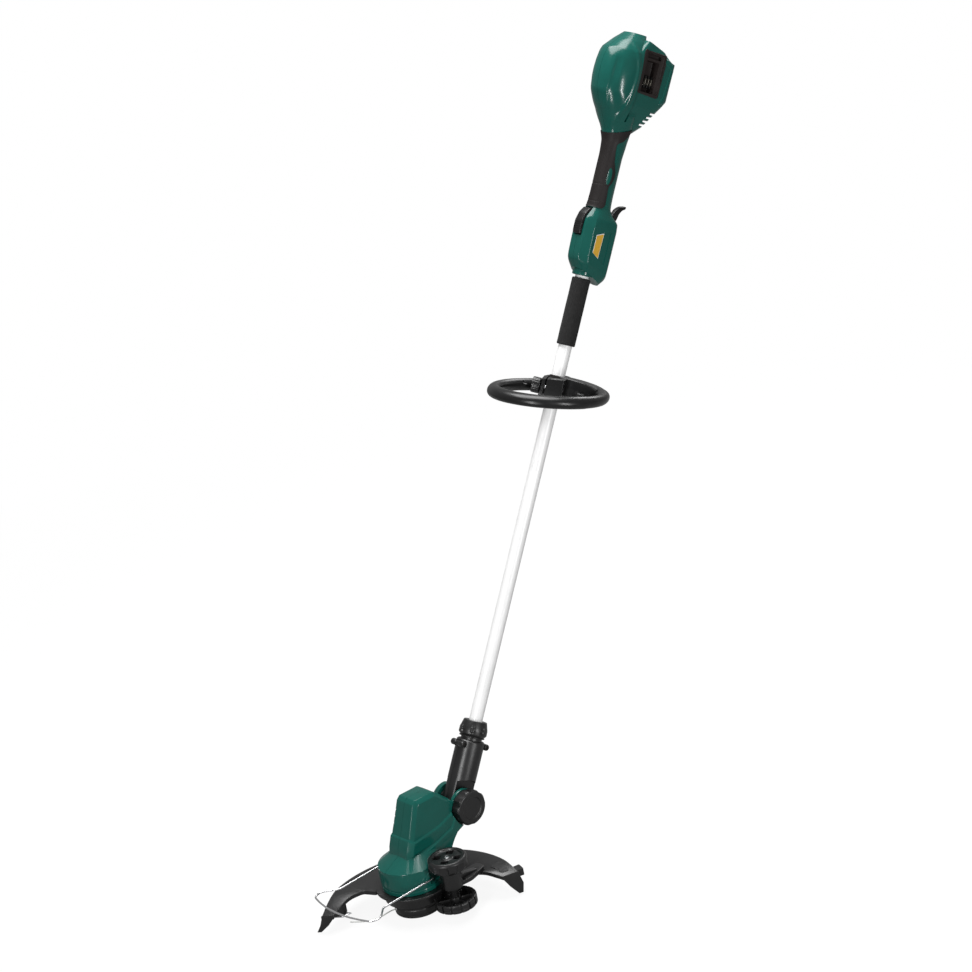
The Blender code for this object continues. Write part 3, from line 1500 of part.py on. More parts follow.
def build_guard():
    """The guard: ring, crescent plate with lip and skirt, end flanges and the line cutter."""
    holder = frame("guard_frame", None, (0, 0, 0), (0, 0, radians(GUARD_TURN)))
    rings = []
    for angle, inner in GUARD_INNER_EDGE:
        top = guard_height(angle)
        outer = guard_reach(angle)
        wall = GUARD_PLATE
        section = [
            (inner, top - GUARD_LIP),
            (inner, top - 0.0008),
            (inner + 0.0008, top),
            (outer - 0.003, top),
            (outer, top - 0.002),
            (outer + 0.002, top - GUARD_SKIRT),
            (outer - 0.0005, top - GUARD_SKIRT),
            (outer - wall, top - wall),
            (inner + wall - 0.0005, top - wall),
            (inner + wall - 0.0005, top - GUARD_LIP),
        ]
        rings.append([guard_point(angle, reach, height) for reach, height in section])
    guard = loft("guard", rings, BLACK, holder)
    ring = lathe(
        "guard_ring",
        [
            (GUARD_BRIM_RADIUS - 0.0005, GUARD_TOP + 0.0005),
            (GUARD_BRIM_RADIUS, GUARD_TOP),
            (GUARD_BRIM_RADIUS, GUARD_TOP - GUARD_PLATE - 0.0005),
            (GUARD_BAND_RADIUS + 0.003, GUARD_TOP - GUARD_PLATE - 0.0005),
            (GUARD_BAND_RADIUS, GUARD_BAND_BOTTOM),
            (GUARD_RING_BORE - 0.004, GUARD_BAND_BOTTOM),
            (GUARD_RING_BORE - 0.004, GUARD_TOP + 0.0005),
        ],
        None,
        holder,
        48,
    )
    join(guard, ring)
    bore = rod(
        "guard_bore",
        GUARD_RING_BORE,
        (0, 0, GUARD_BAND_BOTTOM - 0.002),
        (0, 0, GUARD_TOP + 0.002),
        None,
        holder,
        48,
    )
    for end, side, past_arc in ((GUARD_LEFT_END, -1, 0.0115), (GUARD_RIGHT_END, 1, -0.0015)):
        top = guard_height(end)
        inner, outer = GUARD_INNER_EDGE[0 if side < 0 else -1][1], guard_reach(end)
        foot = GUARD_ARC_RADIUS + past_arc
        back, front = end - side * 1.0, end + side * 0.6
        upper = [(back, inner), (back, outer + 0.0015), (front, outer + 0.0015), (front, inner)]
        middle = [
            (back, inner + 0.010),
            (back, outer + 0.006),
            (front, outer + 0.006),
            (front, inner + 0.010),
        ]
        lower = [
            (back + side * 0.3, foot),
            (back + side * 0.3, foot + 0.0075),
            (front, foot + 0.0075),
            (front, foot),
        ]
        rings = [
            [guard_point(a, r, GUARD_FOOT_BOTTOM) for a, r in lower],
            [guard_point(a, r, top * 0.45) for a, r in middle],
            [guard_point(a, r, top - 0.0045) for a, r in upper],
            [guard_point(a, r, top - 0.0006) for a, r in upper],
        ]
        join(guard, loft("guard_foot_" + str(side), rings, None, holder))
    stop_inner, stop_outer = GUARD_ARC_RADIUS - 0.0030, GUARD_ARC_RADIUS + 0.0145
    stop_from, stop_to = GUARD_RIGHT_END - 6.5, GUARD_RIGHT_END - 0.8
    stop = [(stop_from, stop_inner), (stop_from, stop_outer), (stop_to, stop_outer), (stop_to, stop_inner)]
    rings = [[guard_point(a, r, z) for a, r in stop] for z in (0.0290, 0.0405)]
    join(guard, loft("guard_stop", rings, None, holder))
    pad_from, pad_to = GUARD_RIGHT_END - 13.5, GUARD_RIGHT_END - 2.5
    pad_middle = (pad_from + pad_to) / 2
    pad_rings = []
    for lift in (-0.0015, 0.0010):
        pad = []
        for angle, inset in ((pad_from, 0.0290), (pad_from, 0.0085), (pad_middle, 0.0080), (pad_to, 0.0075)):
            pad.append(guard_point(angle, GUARD_ARC_RADIUS - inset, guard_height(angle) + lift))
        for angle, inset in ((pad_to, 0.0215), (pad_middle, 0.0260)):
            pad.append(guard_point(angle, GUARD_ARC_RADIUS - inset, guard_height(angle) + lift))
        pad_rings.append(pad)
    join(guard, loft("guard_pad", pad_rings, None, holder))
    mount = [
        (CUTTER_FROM + 0.1, -0.0275),
        (CUTTER_FROM + 0.1, -0.0155),
        (CUTTER_TO - 0.1, -0.0085),
        (CUTTER_TO - 0.1, -0.0190),
    ]
    mount = [(angle, GUARD_ARC_RADIUS + past_arc) for angle, past_arc in mount]
    rings = [
        [guard_point(a, r, CUTTER_HEIGHT) for a, r in mount],
        [guard_point(a, r, guard_height(a) - 0.0015) for a, r in mount],
    ]
    join(guard, loft("cutter_mount", rings, None, holder))
    relief_top = WHEEL_BOTTOM + WHEEL_HEIGHT + RUN_GAP
    relief_at = (*WHEEL_CENTRE, 0)
    relief = rod(
        "wheel_relief",
        WHEEL_RADIUS + 0.001,
        (0, 0, 0.010),
        (0, 0, relief_top),
        None,
        None,
        40,
        at=relief_at,
    )
    cut(guard, bore, relief)
    blade = [
        (CUTTER_FROM - 0.8, -0.0355),
        (CUTTER_FROM - 0.8, -0.0165),
        (CUTTER_TO + 0.1, -0.0095),
        (CUTTER_TO + 0.1, -0.0255),
    ]
    blade = [guard_point(angle, GUARD_ARC_RADIUS + past_arc, 0) for angle, past_arc in blade]
    top = CUTTER_HEIGHT - SEAT_GAP
    rings = [[(x, y, z) for x, y, _ in blade] for z in (top - 0.0015, top)]
    loft("line_cutter", rings, STEEL, holder)


def build_spool():
    """The spool head: housing, cap, reel, winding, bump knob, spring, eyelet and line."""
    cap_top = CAP_BOTTOM + CAP_THICKNESS
    inner = SPOOL_RADIUS - SPOOL_WALL
    profile = [
        (0, SPOOL_TOP),
        (SPOOL_RADIUS - 0.0015, SPOOL_TOP),
        (SPOOL_RADIUS, SPOOL_TOP - 0.0015),
        (SPOOL_RADIUS, SPOOL_TOP - 0.006),
        (SPOOL_RADIUS - 0.001, SPOOL_TOP - 0.007),
        (SPOOL_RADIUS - 0.001, SPOOL_TOP - 0.009),
        (SPOOL_RADIUS, SPOOL_TOP - 0.010),
        (SPOOL_RADIUS, cap_top + SEAT_GAP),
        (inner, cap_top + SEAT_GAP),
        (inner, SPOOL_TOP - SPOOL_WALL),
        (0, SPOOL_TOP - SPOOL_WALL),
    ]
    housing = lathe("spool_housing", profile, BLACK, None, 36, closed=False)
    outward = polar(1, EYELET_ANGLE, 0)
    height = Vector((0, 0, EYELET_HEIGHT))
    hole = rod(
        "eyelet_hole",
        EYELET_RADIUS + SEAT_GAP,
        outward * (inner - 0.005) + height,
        outward * (SPOOL_RADIUS + 0.005) + height,
        None,
        None,
        16,
    )
    cut(housing, hole)
    eyelet = rod(
        "line_eyelet",
        EYELET_RADIUS,
        outward * (inner - 0.0003) + height,
        outward * (SPOOL_RADIUS + 0.0012) + height,
        STEEL,
        None,
        16,
    )
    eyelet_bore = rod(
        "eyelet_bore",
        EYELET_BORE,
        outward * (inner - 0.005) + height,
        outward * (SPOOL_RADIUS + 0.005) + height,
        None,
        None,
        12,
    )
    cut(eyelet, eyelet_bore)
    cap = ring_profile(SPOOL_RADIUS, BUMP_RADIUS + RUN_GAP, CAP_BOTTOM, cap_top, 0.0015)
    lathe("spool_cap", cap, BLACK, None, 32)
    rim_top = cap_top - BUMP_TRAVEL - RUN_GAP
    knob = [
        (0, cap_top + 0.004),
        (0.0065, cap_top + 0.004),
        (0.0065, rim_top),
        (BUMP_RADIUS, rim_top),
        (BUMP_RADIUS, 0.002),
        (BUMP_RADIUS - 0.002, 0),
        (0, 0),
    ]
    lathe("bump_knob", knob, BLACK, None, 24, closed=False)
    bottom = cap_top + SEAT_GAP
    top = bottom + REEL_HEIGHT
    flange = 0.0014
    reel = [
        (REEL_RADIUS, top),
        (REEL_RADIUS, top - flange),
        (REEL_HUB_RADIUS, top - flange),
        (REEL_HUB_RADIUS, bottom + flange),
        (REEL_RADIUS, bottom + flange),
        (REEL_RADIUS, bottom),
        (0.0068, bottom),
        (0.0068, top),
    ]
    lathe("line_reel", reel, DARK, None, 24)
    winding = ring_profile(
        WINDING_RADIUS,
        REEL_HUB_RADIUS + SEAT_GAP,
        bottom + flange + SEAT_GAP,
        top - flange - SEAT_GAP,
        0.001,
    )
    lathe("line_winding", winding, LINE, None, 20)
    coil(
        "bump_spring",
        (0, 0, cap_top + 0.004 + SEAT_GAP),
        (0, 0, SPOOL_TOP - SPOOL_WALL - SEAT_GAP),
        0.0050,
        0.0005,
        5,
        None,
    )
    route = [
        outward * (WINDING_RADIUS + 0.0015) + height,
        outward * (SPOOL_RADIUS - 0.001) + height,
        outward * (SPOOL_RADIUS + 0.010) + height,
        Vector((-0.0165, -0.068, 0.0108)),
        Vector((-0.0280, -0.086, 0.0096)),
        Vector((-0.0520, -0.101, 0.0082)),
    ]
    wire("cutting_line", smooth_path(route, 30), LINE_RADIUS, LINE, None)


def build_bail():
    """The wire plant guard: two arms, a flared nose, ends bent in to the housing's bosses."""
    half = BAIL_HALF_WIDTH
    side = [
        (BAIL_PIN_END + SEAT_GAP, 0),
        (half - 0.0025, 0),
        (half - 0.0007, -0.0007),
        (half, -0.0025),
        (half, -BAIL_REACH + 0.004),
        (half + 0.002, -BAIL_REACH),
        (half + BAIL_FLARE - 0.003, -BAIL_REACH - 0.016),
        (half + BAIL_FLARE, -BAIL_REACH - 0.022),
        (half + BAIL_FLARE - 0.001, -BAIL_REACH - 0.030),
        (half + BAIL_FLARE - 0.006, -BAIL_REACH - 0.037),
        (half - 0.004, -BAIL_REACH - 0.0425),
        (half - 0.028, -BAIL_REACH - BAIL_NOSE + 0.0015),
    ]
    path = side + [(0, -BAIL_REACH - BAIL_NOSE)] + [(-x, y) for x, y in reversed(side)]
    wire("wire_guard", [(x, y, 0) for x, y in path], BAIL_WIRE_RADIUS, STEEL, None, (0, 0, BAIL_HEIGHT))


def build_wheel():
    """Edge wheel on its axle, the bracket with its post, and the big knob on top."""
    x, y = WHEEL_CENTRE
    at = (x, y, 0)
    bottom, top = WHEEL_BOTTOM, WHEEL_BOTTOM + WHEEL_HEIGHT
    bore = AXLE_RADIUS + RUN_GAP
    profile = [
        (WHEEL_RADIUS - 0.001, top),
        (WHEEL_RADIUS, top - 0.001),
        (WHEEL_RADIUS, bottom + 0.001),
        (WHEEL_RADIUS - 0.001, bottom),
        (bore, bottom),
        (bore, top),
        (WHEEL_HUB_RADIUS, top),
        (WHEEL_HUB_RADIUS + 0.0005, bottom + 0.005),
        (WHEEL_RADIUS - 0.0065, bottom + 0.005),
        (WHEEL_RADIUS - 0.0060, top),
    ]
    wheel = lathe("edge_wheel", profile, BLACK, None, 36, at=at)
    for i in range(6):
        angle = 2 * pi * i / 6
        direction = Vector((cos(angle), sin(angle), 0))
        across = Vector((-sin(angle), cos(angle), 0)) * 0.0012
        corners = ((0.0085, -1), (0.0290, -1), (0.0290, 1), (0.0085, 1))
        spoke = [Vector((x, y, 0)) + direction * reach + across * half for reach, half in corners]
        rings = [[(p.x, p.y, z) for p in spoke] for z in (bottom + 0.004, top - 0.003)]
        join(wheel, loft("spoke_" + str(i), rings, None, None))
    tread = flutes(
        "tread_gaps",
        20,
        0.0016,
        WHEEL_RADIUS + 0.0006,
        bottom - 0.005,
        top + 0.005,
        None,
        at,
        steps=4,
    )
    cut(wheel, tread)
    post = rod(
        "wheel_bracket",
        POST_RADIUS - 0.001,
        (x, y, POST_BOTTOM),
        (x, y, POST_TOP),
        BLACK,
        None,
        32,
        POST_RADIUS,
    )
    spigot = rod(
        "bracket_spigot",
        SPIGOT_RADIUS,
        (x, y, top + RUN_GAP),
        (x, y, POST_BOTTOM + 0.002),
        None,
        None,
        20,
    )
    foot_bottom = GUARD_TOP + SEAT_GAP
    arm_outline = [
        (x - 0.014, y),
        (x + 0.010, y),
        (x + 0.0135, y + 0.030),
        (x + 0.004, y + 0.066),
        (x - 0.016, y + 0.066),
        (x - 0.017, y + 0.030),
    ]
    rings = [[(px, py, z) for px, py in arm_outline] for z in (foot_bottom, foot_bottom + 0.007)]
    arm = loft("bracket_arm", rings, None, None)
    rib_outline = [(x - 0.005, y), (x + 0.004, y), (x + 0.004, y + 0.050), (x - 0.005, y + 0.050)]
    rib_tops = (POST_TOP - 0.012, POST_TOP - 0.012, foot_bottom + 0.009, foot_bottom + 0.009)
    rib_rings = [
        [(px, py, foot_bottom + 0.001) for px, py in rib_outline],
        [(px, py, z) for (px, py), z in zip(rib_outline, rib_tops)],
    ]
    rib = loft("bracket_rib", rib_rings, None, None)
    join(post, spigot, arm, rib)
    hole = rod("axle_hole", AXLE_RADIUS + SEAT_GAP, (x, y, 0), (x, y, 0.12), None, None, 16)
    cut(post, hole)
    knob_bottom = POST_TOP + RUN_GAP
    knob_top = knob_bottom + WHEEL_KNOB_HEIGHT
    axle = rod("wheel_axle", AXLE_RADIUS, (x, y, bottom - 0.002), (x, y, knob_top - 0.006), STEEL, None, 16)
    head = rod(
        "axle_head",
        AXLE_RADIUS + 0.003,
        (x, y, bottom - 0.0035),
        (x, y, bottom - RUN_GAP),
        None,
        None,
        16,
    )
    join(axle, head)
    radius = WHEEL_KNOB_RADIUS
    knob_profile = [
        (radius - 0.003, knob_top),
        (radius, knob_top - 0.003),
        (radius, knob_bottom + 0.004),
        (radius - 0.004, knob_bottom),
        (bore, knob_bottom),
        (bore, knob_top - 0.0055),
        (0.0042, knob_top - 0.0055),
        (0.0042, knob_top - 0.001),
        (0.0085, knob_top - 0.001),
        (0.0100, knob_top - 0.0025),
        (radius - 0.009, knob_top - 0.0025),
        (radius - 0.008, knob_top),
    ]
    knob = lathe("wheel_knob", knob_profile, BLACK, None, 32, at=at)
    sides = flutes(
        "wheel_knob_flutes",
        8,
        0.0055,
        radius + 0.0030,
        knob_bottom - 0.01,
        knob_top - 0.004,
        None,
        at,
        steps=8,
    )
    cut(knob, sides)
    for i in range(4):
        angle = 2 * pi * i / 4 + 0.6
        low = (0.0115, -0.0055, knob_top - 0.012)
        high = (radius - 0.0105, 0.0055, knob_top + 0.01)
        bm = bmesh.new()
        bmesh.ops.create_cube(bm, size=1.0)
        size = [high[k] - low[k] for k in range(3)]
        middle = [(high[k] + low[k]) / 2 for k in range(3)]
        bmesh.ops.transform(
            bm,
            matrix=Matrix.Translation(middle) @ Matrix.Diagonal((*size, 1)),
            verts=bm.verts,
        )
        name = "knob_pocket_" + str(i)
        pocket = make(name, to_mesh(name, bm, smooth=False), None, None, at, (0, 0, angle))
        cut(knob, pocket)
    screw = rod("knob_screw", 0.0038, (x, y, knob_top - 0.0052), (x, y, knob_top - 0.0015), STEEL, None, 12)
    slot = box(
        "knob_screw_slot",
        (x - 0.003, y - 0.0004, knob_top - 0.0025),
        (x + 0.003, y + 0.0004, knob_top),
        None,
        None,
    )
    cut(screw, slot)


def main():
    start_scene()
    pivot = (0, PIVOT_BACK, PIVOT_HEIGHT)
    shaft = frame("shaft_frame", None, pivot, (-radians(SHAFT_LEAN), 0, 0))
    build_tube(shaft)
    handle_shell(1, "handle_shell_left", shaft)
    handle_shell(-1, "handle_shell_right", shaft)
    build_overmould(shaft)
    build_bay(1, "left", shaft)
    build_bay(-1, "right", shaft)
    build_controls(shaft)
    build_loop(shaft)
    build_sleeve(shaft)
    build_pivot(shaft)
    motor_housing(1, "motor_housing_left")
    motor_housing(-1, "motor_housing_right")
    build_drive()
    build_guard()
    build_spool()
    build_bail()
    build_wheel()


main()
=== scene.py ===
# Cordless string trimmer: the looks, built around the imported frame.
import json
import bpy
import bmesh
from math import cos, pi, radians, sin, tan
from mathutils import Matrix, Vector, noise


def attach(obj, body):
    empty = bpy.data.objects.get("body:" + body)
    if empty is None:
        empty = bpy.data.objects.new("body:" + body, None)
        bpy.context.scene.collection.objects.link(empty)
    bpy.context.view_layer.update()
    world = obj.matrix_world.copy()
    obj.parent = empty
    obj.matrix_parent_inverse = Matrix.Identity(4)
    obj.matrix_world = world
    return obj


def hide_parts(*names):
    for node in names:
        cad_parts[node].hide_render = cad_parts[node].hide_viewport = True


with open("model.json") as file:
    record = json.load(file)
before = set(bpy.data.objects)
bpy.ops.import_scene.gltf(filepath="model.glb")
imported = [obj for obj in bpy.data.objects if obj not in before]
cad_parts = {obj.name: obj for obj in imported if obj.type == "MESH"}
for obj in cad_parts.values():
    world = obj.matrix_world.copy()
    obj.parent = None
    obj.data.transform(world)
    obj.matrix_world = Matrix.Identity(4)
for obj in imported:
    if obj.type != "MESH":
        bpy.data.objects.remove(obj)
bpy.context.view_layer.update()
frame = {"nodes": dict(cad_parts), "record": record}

scene = bpy.context.scene
nodes = frame["nodes"]

# The frame's own places, in metres: the head's pivot, the shaft's axes and the loop handle's axes.
place = {
    "pivot": (0.0, 0.1135, 0.1375),
    "lean": 31.5,
    "loopStation": 0.688,
    "loopSwivel": 41.7,
    "loopTilt": 12.0,
    "wheel": (0.072, 0.023),
    "guardTurn": 59.7,
}
shaftFrame = Matrix.Translation(place["pivot"]) @ Matrix.Rotation(-radians(place["lean"]), 4, "X")
swivel = Matrix.Rotation(radians(place["loopSwivel"]), 4, "Z")
loopFrame = shaftFrame @ Matrix.Translation((0, 0, place["loopStation"])) @ swivel
riseX = tan(radians(place["loopTilt"])) * sin(radians(place["loopSwivel"]))
riseY = tan(radians(place["loopTilt"])) * cos(radians(place["loopSwivel"]))
tiltShear = Matrix(((1, 0, 0, 0), (0, 1, 0, 0), (riseX, riseY, 1, 0), (0, 0, 0, 1)))
headFrame = Matrix.Identity(4)
guardFrame = Matrix.Rotation(radians(place["guardTurn"]), 4, "Z")

# Camera at the photograph's angle and framing
view = {"at": (4.39069, -2.97400, 2.91115), "azimuth": 53.316, "elevation": 22.699, "roll": -11.355, "lens": 138.74}


def makeCamera():
    azimuth, elevation, roll = (radians(view[key]) for key in ("azimuth", "elevation", "roll"))
    back = Vector((sin(azimuth) * cos(elevation), -cos(azimuth) * cos(elevation), sin(elevation)))
    level = Vector((cos(azimuth), sin(azimuth), 0))
    upright = back.cross(level)
    right = level * cos(roll) + upright * sin(roll)
    up = upright * cos(roll) - level * sin(roll)
    cam = bpy.data.objects.new("camera", bpy.data.cameras.new("camera"))
    cam.data.lens = view["lens"]
    cam.data.sensor_width = 36
    cam.data.clip_start = 0.1
    cam.data.clip_end = 60
    turn = Matrix((right, up, back)).transposed().to_4x4()
    cam.matrix_world = Matrix.Translation(view["at"]) @ turn
    scene.collection.objects.link(cam)
    scene.camera = cam


makeCamera()
scene.view_settings.view_transform = "Standard"
print("camera ready")


# Shared effects, as node groups
def addNode(tree, kind, values=None, **attributes):
    node = tree.nodes.new("ShaderNode" + kind)
    for key, value in attributes.items():
        setattr(node, key, value)
    for socket, value in (values or {}).items():
        node.inputs[socket].default_value = value
    return node


def makeGroup(name, inputs, outputs, parts, links):
    # inputs without a value are vectors; a link goes from a part's output to a part's input
    tree = bpy.data.node_groups.new(name, "ShaderNodeTree")
    for key, value in inputs.items():
        kind = "NodeSocketVector" if value is None else "NodeSocketFloat"
        socket = tree.interface.new_socket(name=key, in_out="INPUT", socket_type=kind)
        if value is not None:
            socket.default_value = value
    for key in outputs:
        tree.interface.new_socket(name=key, in_out="OUTPUT", socket_type="NodeSocketFloat")
    made = {"source": tree.nodes.new("NodeGroupInput"), "result": tree.nodes.new("NodeGroupOutput")}
    for key, (kind, values, attributes) in parts.items():
        made[key] = addNode(tree, kind, values, **attributes)
    for start, output, end, socket in links:
        tree.links.new(made[start].outputs[output], made[end].inputs[socket])
    return tree


# handling smudges for the roughness, a broad mask for the colour and a fine spark-eroded grain
grainGroup = makeGroup(
    "mouldedGrain",
    {"Vector": None, "Smudge Scale": 30.0, "Grain Scale": 1500.0, "Low": 0.3, "High": 0.4},
    ("Mask", "Roughness", "Height"),
    {
        "smudge": ("TexNoise", {"Detail": 4.0, "Roughness": 0.6}, {}),
        "grain": ("TexNoise", {"Detail": 2.0}, {}),
        "spread": ("MapRange", {"From Min": 0.35, "From Max": 0.65}, {}),
        "mask": ("MapRange", {"From Min": 0.40, "From Max": 0.75}, {}),
    },
    (
        ("source", "Vector", "smudge", "Vector"), ("source", "Smudge Scale", "smudge", "Scale"),
        ("source", "Vector", "grain", "Vector"), ("source", "Grain Scale", "grain", "Scale"),
        ("smudge", "Fac", "spread", "Value"), ("smudge", "Fac", "mask", "Value"),
        ("source", "Low", "spread", "To Min"), ("source", "High", "spread", "To Max"),
        ("spread", "Result", "result", "Roughness"), ("mask", "Result", "result", "Mask"),
        ("grain", "Fac", "result", "Height"),
    ),
)
# open cells of two sizes pressed into the skin of the foam
foamGroup = makeGroup(
    "foamCells",
    {"Vector": None, "Cell Scale": 700.0},
    ("Mask", "Height"),
    {
        "cells": ("TexVoronoi", {}, {"feature": "DISTANCE_TO_EDGE"}),
        "coarse": ("TexNoise", {"Scale": 180.0}, {}),
        "mix": ("Math", {}, {"operation": "MULTIPLY"}),
    },
    (
        ("source", "Vector", "cells", "Vector"), ("source", "Cell Scale", "cells", "Scale"),
        ("source", "Vector", "coarse", "Vector"), ("coarse", "Fac", "result", "Mask"),
        ("cells", "Distance", "mix", 0), ("coarse", "Fac", "mix", 1), ("mix", "Value", "result", "Height"),
    ),
)
# drawn or turned lines along one direction of the coordinates given
brushGroup = makeGroup(
    "brushedLines",
    {"Vector": None, "Low": 0.2, "High": 0.4},
    ("Roughness", "Height"),
    {
        "stretch": ("Mapping", {"Scale": (900.0, 900.0, 30.0)}, {}),
        "lines": ("TexNoise", {"Scale": 1.0, "Detail": 3.0}, {}),
        "spread": ("MapRange", {}, {}),
    },
    (
        ("source", "Vector", "stretch", "Vector"), ("stretch", "Vector", "lines", "Vector"),
        ("source", "Low", "spread", "To Min"), ("source", "High", "spread", "To Max"),
        ("lines", "Fac", "spread", "Value"), ("spread", "Result", "result", "Roughness"),
        ("lines", "Fac", "result", "Height"),
    ),
)


def startMaterial(name, settings):
    mat = bpy.data.materials.new(name)
    mat.use_nodes = True
    shader = mat.node_tree.nodes["Principled BSDF"]
    for socket, value in settings.items():
        shader.inputs[socket].default_value = value
    return mat, shader, addNode(mat.node_tree, "TexCoord")


def placeGroup(mat, coords, tree, values):
    group = addNode(mat.node_tree, "Group", values, node_tree=tree)
    mat.node_tree.links.new(coords.outputs["Object"], group.inputs["Vector"])
    return group


def twoTone(mat, shader, mask, first, second):
    mix = addNode(mat.node_tree, "Mix", {"A": (*first, 1), "B": (*second, 1)}, data_type="RGBA")
    mat.node_tree.links.new(mask, mix.inputs["Factor"])
    mat.node_tree.links.new(mix.outputs["Result"], shader.inputs["Base Color"])


def addBump(mat, shader, height, depth):
    bump = addNode(mat.node_tree, "Bump", {"Distance": depth})
    mat.node_tree.links.new(height, bump.inputs["Height"])
    mat.node_tree.links.new(bump.outputs["Normal"], shader.inputs["Normal"])


def mouldedPlastic(name, first, second, low, high, grainScale, depth, shine=0.5):
    mat, shader, coords = startMaterial(name, {"Specular IOR Level": shine})
    group = placeGroup(mat, coords, grainGroup, {"Grain Scale": grainScale, "Low": low, "High": high})
    twoTone(mat, shader, group.outputs["Mask"], first, second)
    mat.node_tree.links.new(group.outputs["Roughness"], shader.inputs["Roughness"])
    addBump(mat, shader, group.outputs["Height"], depth)
    return mat


def drawnMetal(name, colour, low, high, depth):
    mat, shader, coords = startMaterial(name, {"Base Color": (*colour, 1), "Metallic": 1.0})
    group = placeGroup(mat, coords, brushGroup, {"Low": low, "High": high})
    mat.node_tree.links.new(group.outputs["Roughness"], shader.inputs["Roughness"])
    addBump(mat, shader, group.outputs["Height"], depth)
    return mat


def foamMaterial():
    settings = {"Roughness": 0.9, "Sheen Weight": 0.05, "Specular IOR Level": 0.15}
    mat, shader, coords = startMaterial("blackFoam", settings)
    group = placeGroup(mat, coords, foamGroup, {"Cell Scale": 650.0})
    twoTone(mat, shader, group.outputs["Mask"], (0.010, 0.010, 0.010), (0.024, 0.0235, 0.0235))
    addBump(mat, shader, group.outputs["Height"], 0.0009)
    return mat


def boardMaterial():
    # solder mask with pale copper runs showing through it
    mat, shader, coords = startMaterial("circuitBoard", {"Roughness": 0.35})
    runs = addNode(mat.node_tree, "TexBrick", {
        "Scale": 160.0, "Color1": (0.006, 0.060, 0.024, 1), "Color2": (0.008, 0.080, 0.030, 1),
        "Mortar": (0.060, 0.160, 0.050, 1),
    })
    mat.node_tree.links.new(coords.outputs["Object"], runs.inputs["Vector"])
    mat.node_tree.links.new(runs.outputs["Color"], shader.inputs["Base Color"])
    return mat


# each plastic: two tones, lowest and highest roughness, grain scale, grain depth and, where it isn't 0.5, its shine
looks = {
    "green": mouldedPlastic("greenPlastic", (0.0032, 0.073, 0.058), (0.0038, 0.081, 0.065),
                            0.15, 0.21, 2200.0, 0.000012, 0.36),
    "black": mouldedPlastic("blackPlastic", (0.0050, 0.0050, 0.0052), (0.0070, 0.0070, 0.0073),
                            0.30, 0.38, 1600.0, 0.000025, 0.55),
    "satin": mouldedPlastic("satinBlack", (0.0048, 0.0048, 0.0050), (0.0064, 0.0064, 0.0067),
                            0.26, 0.34, 2200.0, 0.00002, 0.40),
    "rubber": mouldedPlastic("blackRubber", (0.0090, 0.0070, 0.0069), (0.0120, 0.0098, 0.0095),
                             0.50, 0.64, 1200.0, 0.00008, 0.25),
    "bay": mouldedPlastic("bayPlastic", (0.0150, 0.0108, 0.0101), (0.0200, 0.0150, 0.0138),
                          0.45, 0.60, 1400.0, 0.00007, 0.25),
    "tube": mouldedPlastic("whitePowderCoat", (0.84, 0.84, 0.84), (0.88, 0.88, 0.88), 0.26, 0.34, 700.0, 0.00005),
    "lead": mouldedPlastic("leadCovering", (0.012, 0.012, 0.013), (0.016, 0.016, 0.017), 0.45, 0.55, 1500.0, 0.00003),
    "line": mouldedPlastic("nylonLine", (0.50, 0.51, 0.49), (0.60, 0.61, 0.59), 0.25, 0.40, 900.0, 0.00003),
    "yellow": mouldedPlastic("labelYellow", (0.60, 0.34, 0.030), (0.64, 0.38, 0.042), 0.30, 0.40, 1800.0, 0.00001),
    "paper": mouldedPlastic("labelWhite", (0.80, 0.80, 0.78), (0.86, 0.86, 0.84), 0.30, 0.40, 1800.0, 0.00001),
    "oxide": drawnMetal("blackOxide", (0.050, 0.048, 0.046), 0.32, 0.48, 0.00001),
    "steel": drawnMetal("turnedSteel", (0.56, 0.56, 0.57), 0.22, 0.42, 0.00002),
    "wire": drawnMetal("brightWire", (0.74, 0.74, 0.75), 0.12, 0.26, 0.00001),
    "contact": drawnMetal("contactMetal", (0.72, 0.68, 0.58), 0.15, 0.30, 0.00001),
    "foam": foamMaterial(),
    "board": boardMaterial(),
}
slotOf = {
    "green": "green_plastic", "black": "black_plastic", "satin": "black_plastic", "rubber": "black_rubber",
    "bay": "bay_plastic", "tube": "white_tube", "lead": "lead_covering", "line": "nylon_line",
    "yellow": "green_plastic", "paper": "white_tube", "steel": "steel", "oxide": "steel", "wire": "wire_steel",
    "contact": "contact_metal", "foam": "black_foam", "board": "circuit_board",
}
# the CAD's own nodes take the first look that is listed for their slot
lookOfSlot = {slot: look for look, slot in reversed(slotOf.items())}
for entry in frame["record"]["subparts"]:
    node = nodes[entry["node"]]
    look = looks[lookOfSlot[entry["material_slot"]]]
    if not node.material_slots:
        node.data.materials.append(look)
    for materialSlot in node.material_slots:
        materialSlot.material = look
print("materials ready:", len(looks))


# Modelling helpers
def smoothStep(low, high, value):
    t = min(max((value - low) / (high - low), 0.0), 1.0)
    return t * t * (3 - 2 * t)


def mixAt(knots, values, at):
    # straight from one value to the next
    k = min(max([i for i in range(len(knots)) if knots[i] <= at + 1e-9] or [0]), len(knots) - 2)
    t = (at - knots[k]) / (knots[k + 1] - knots[k])
    return values[k] * (1 - t) + values[k + 1] * t


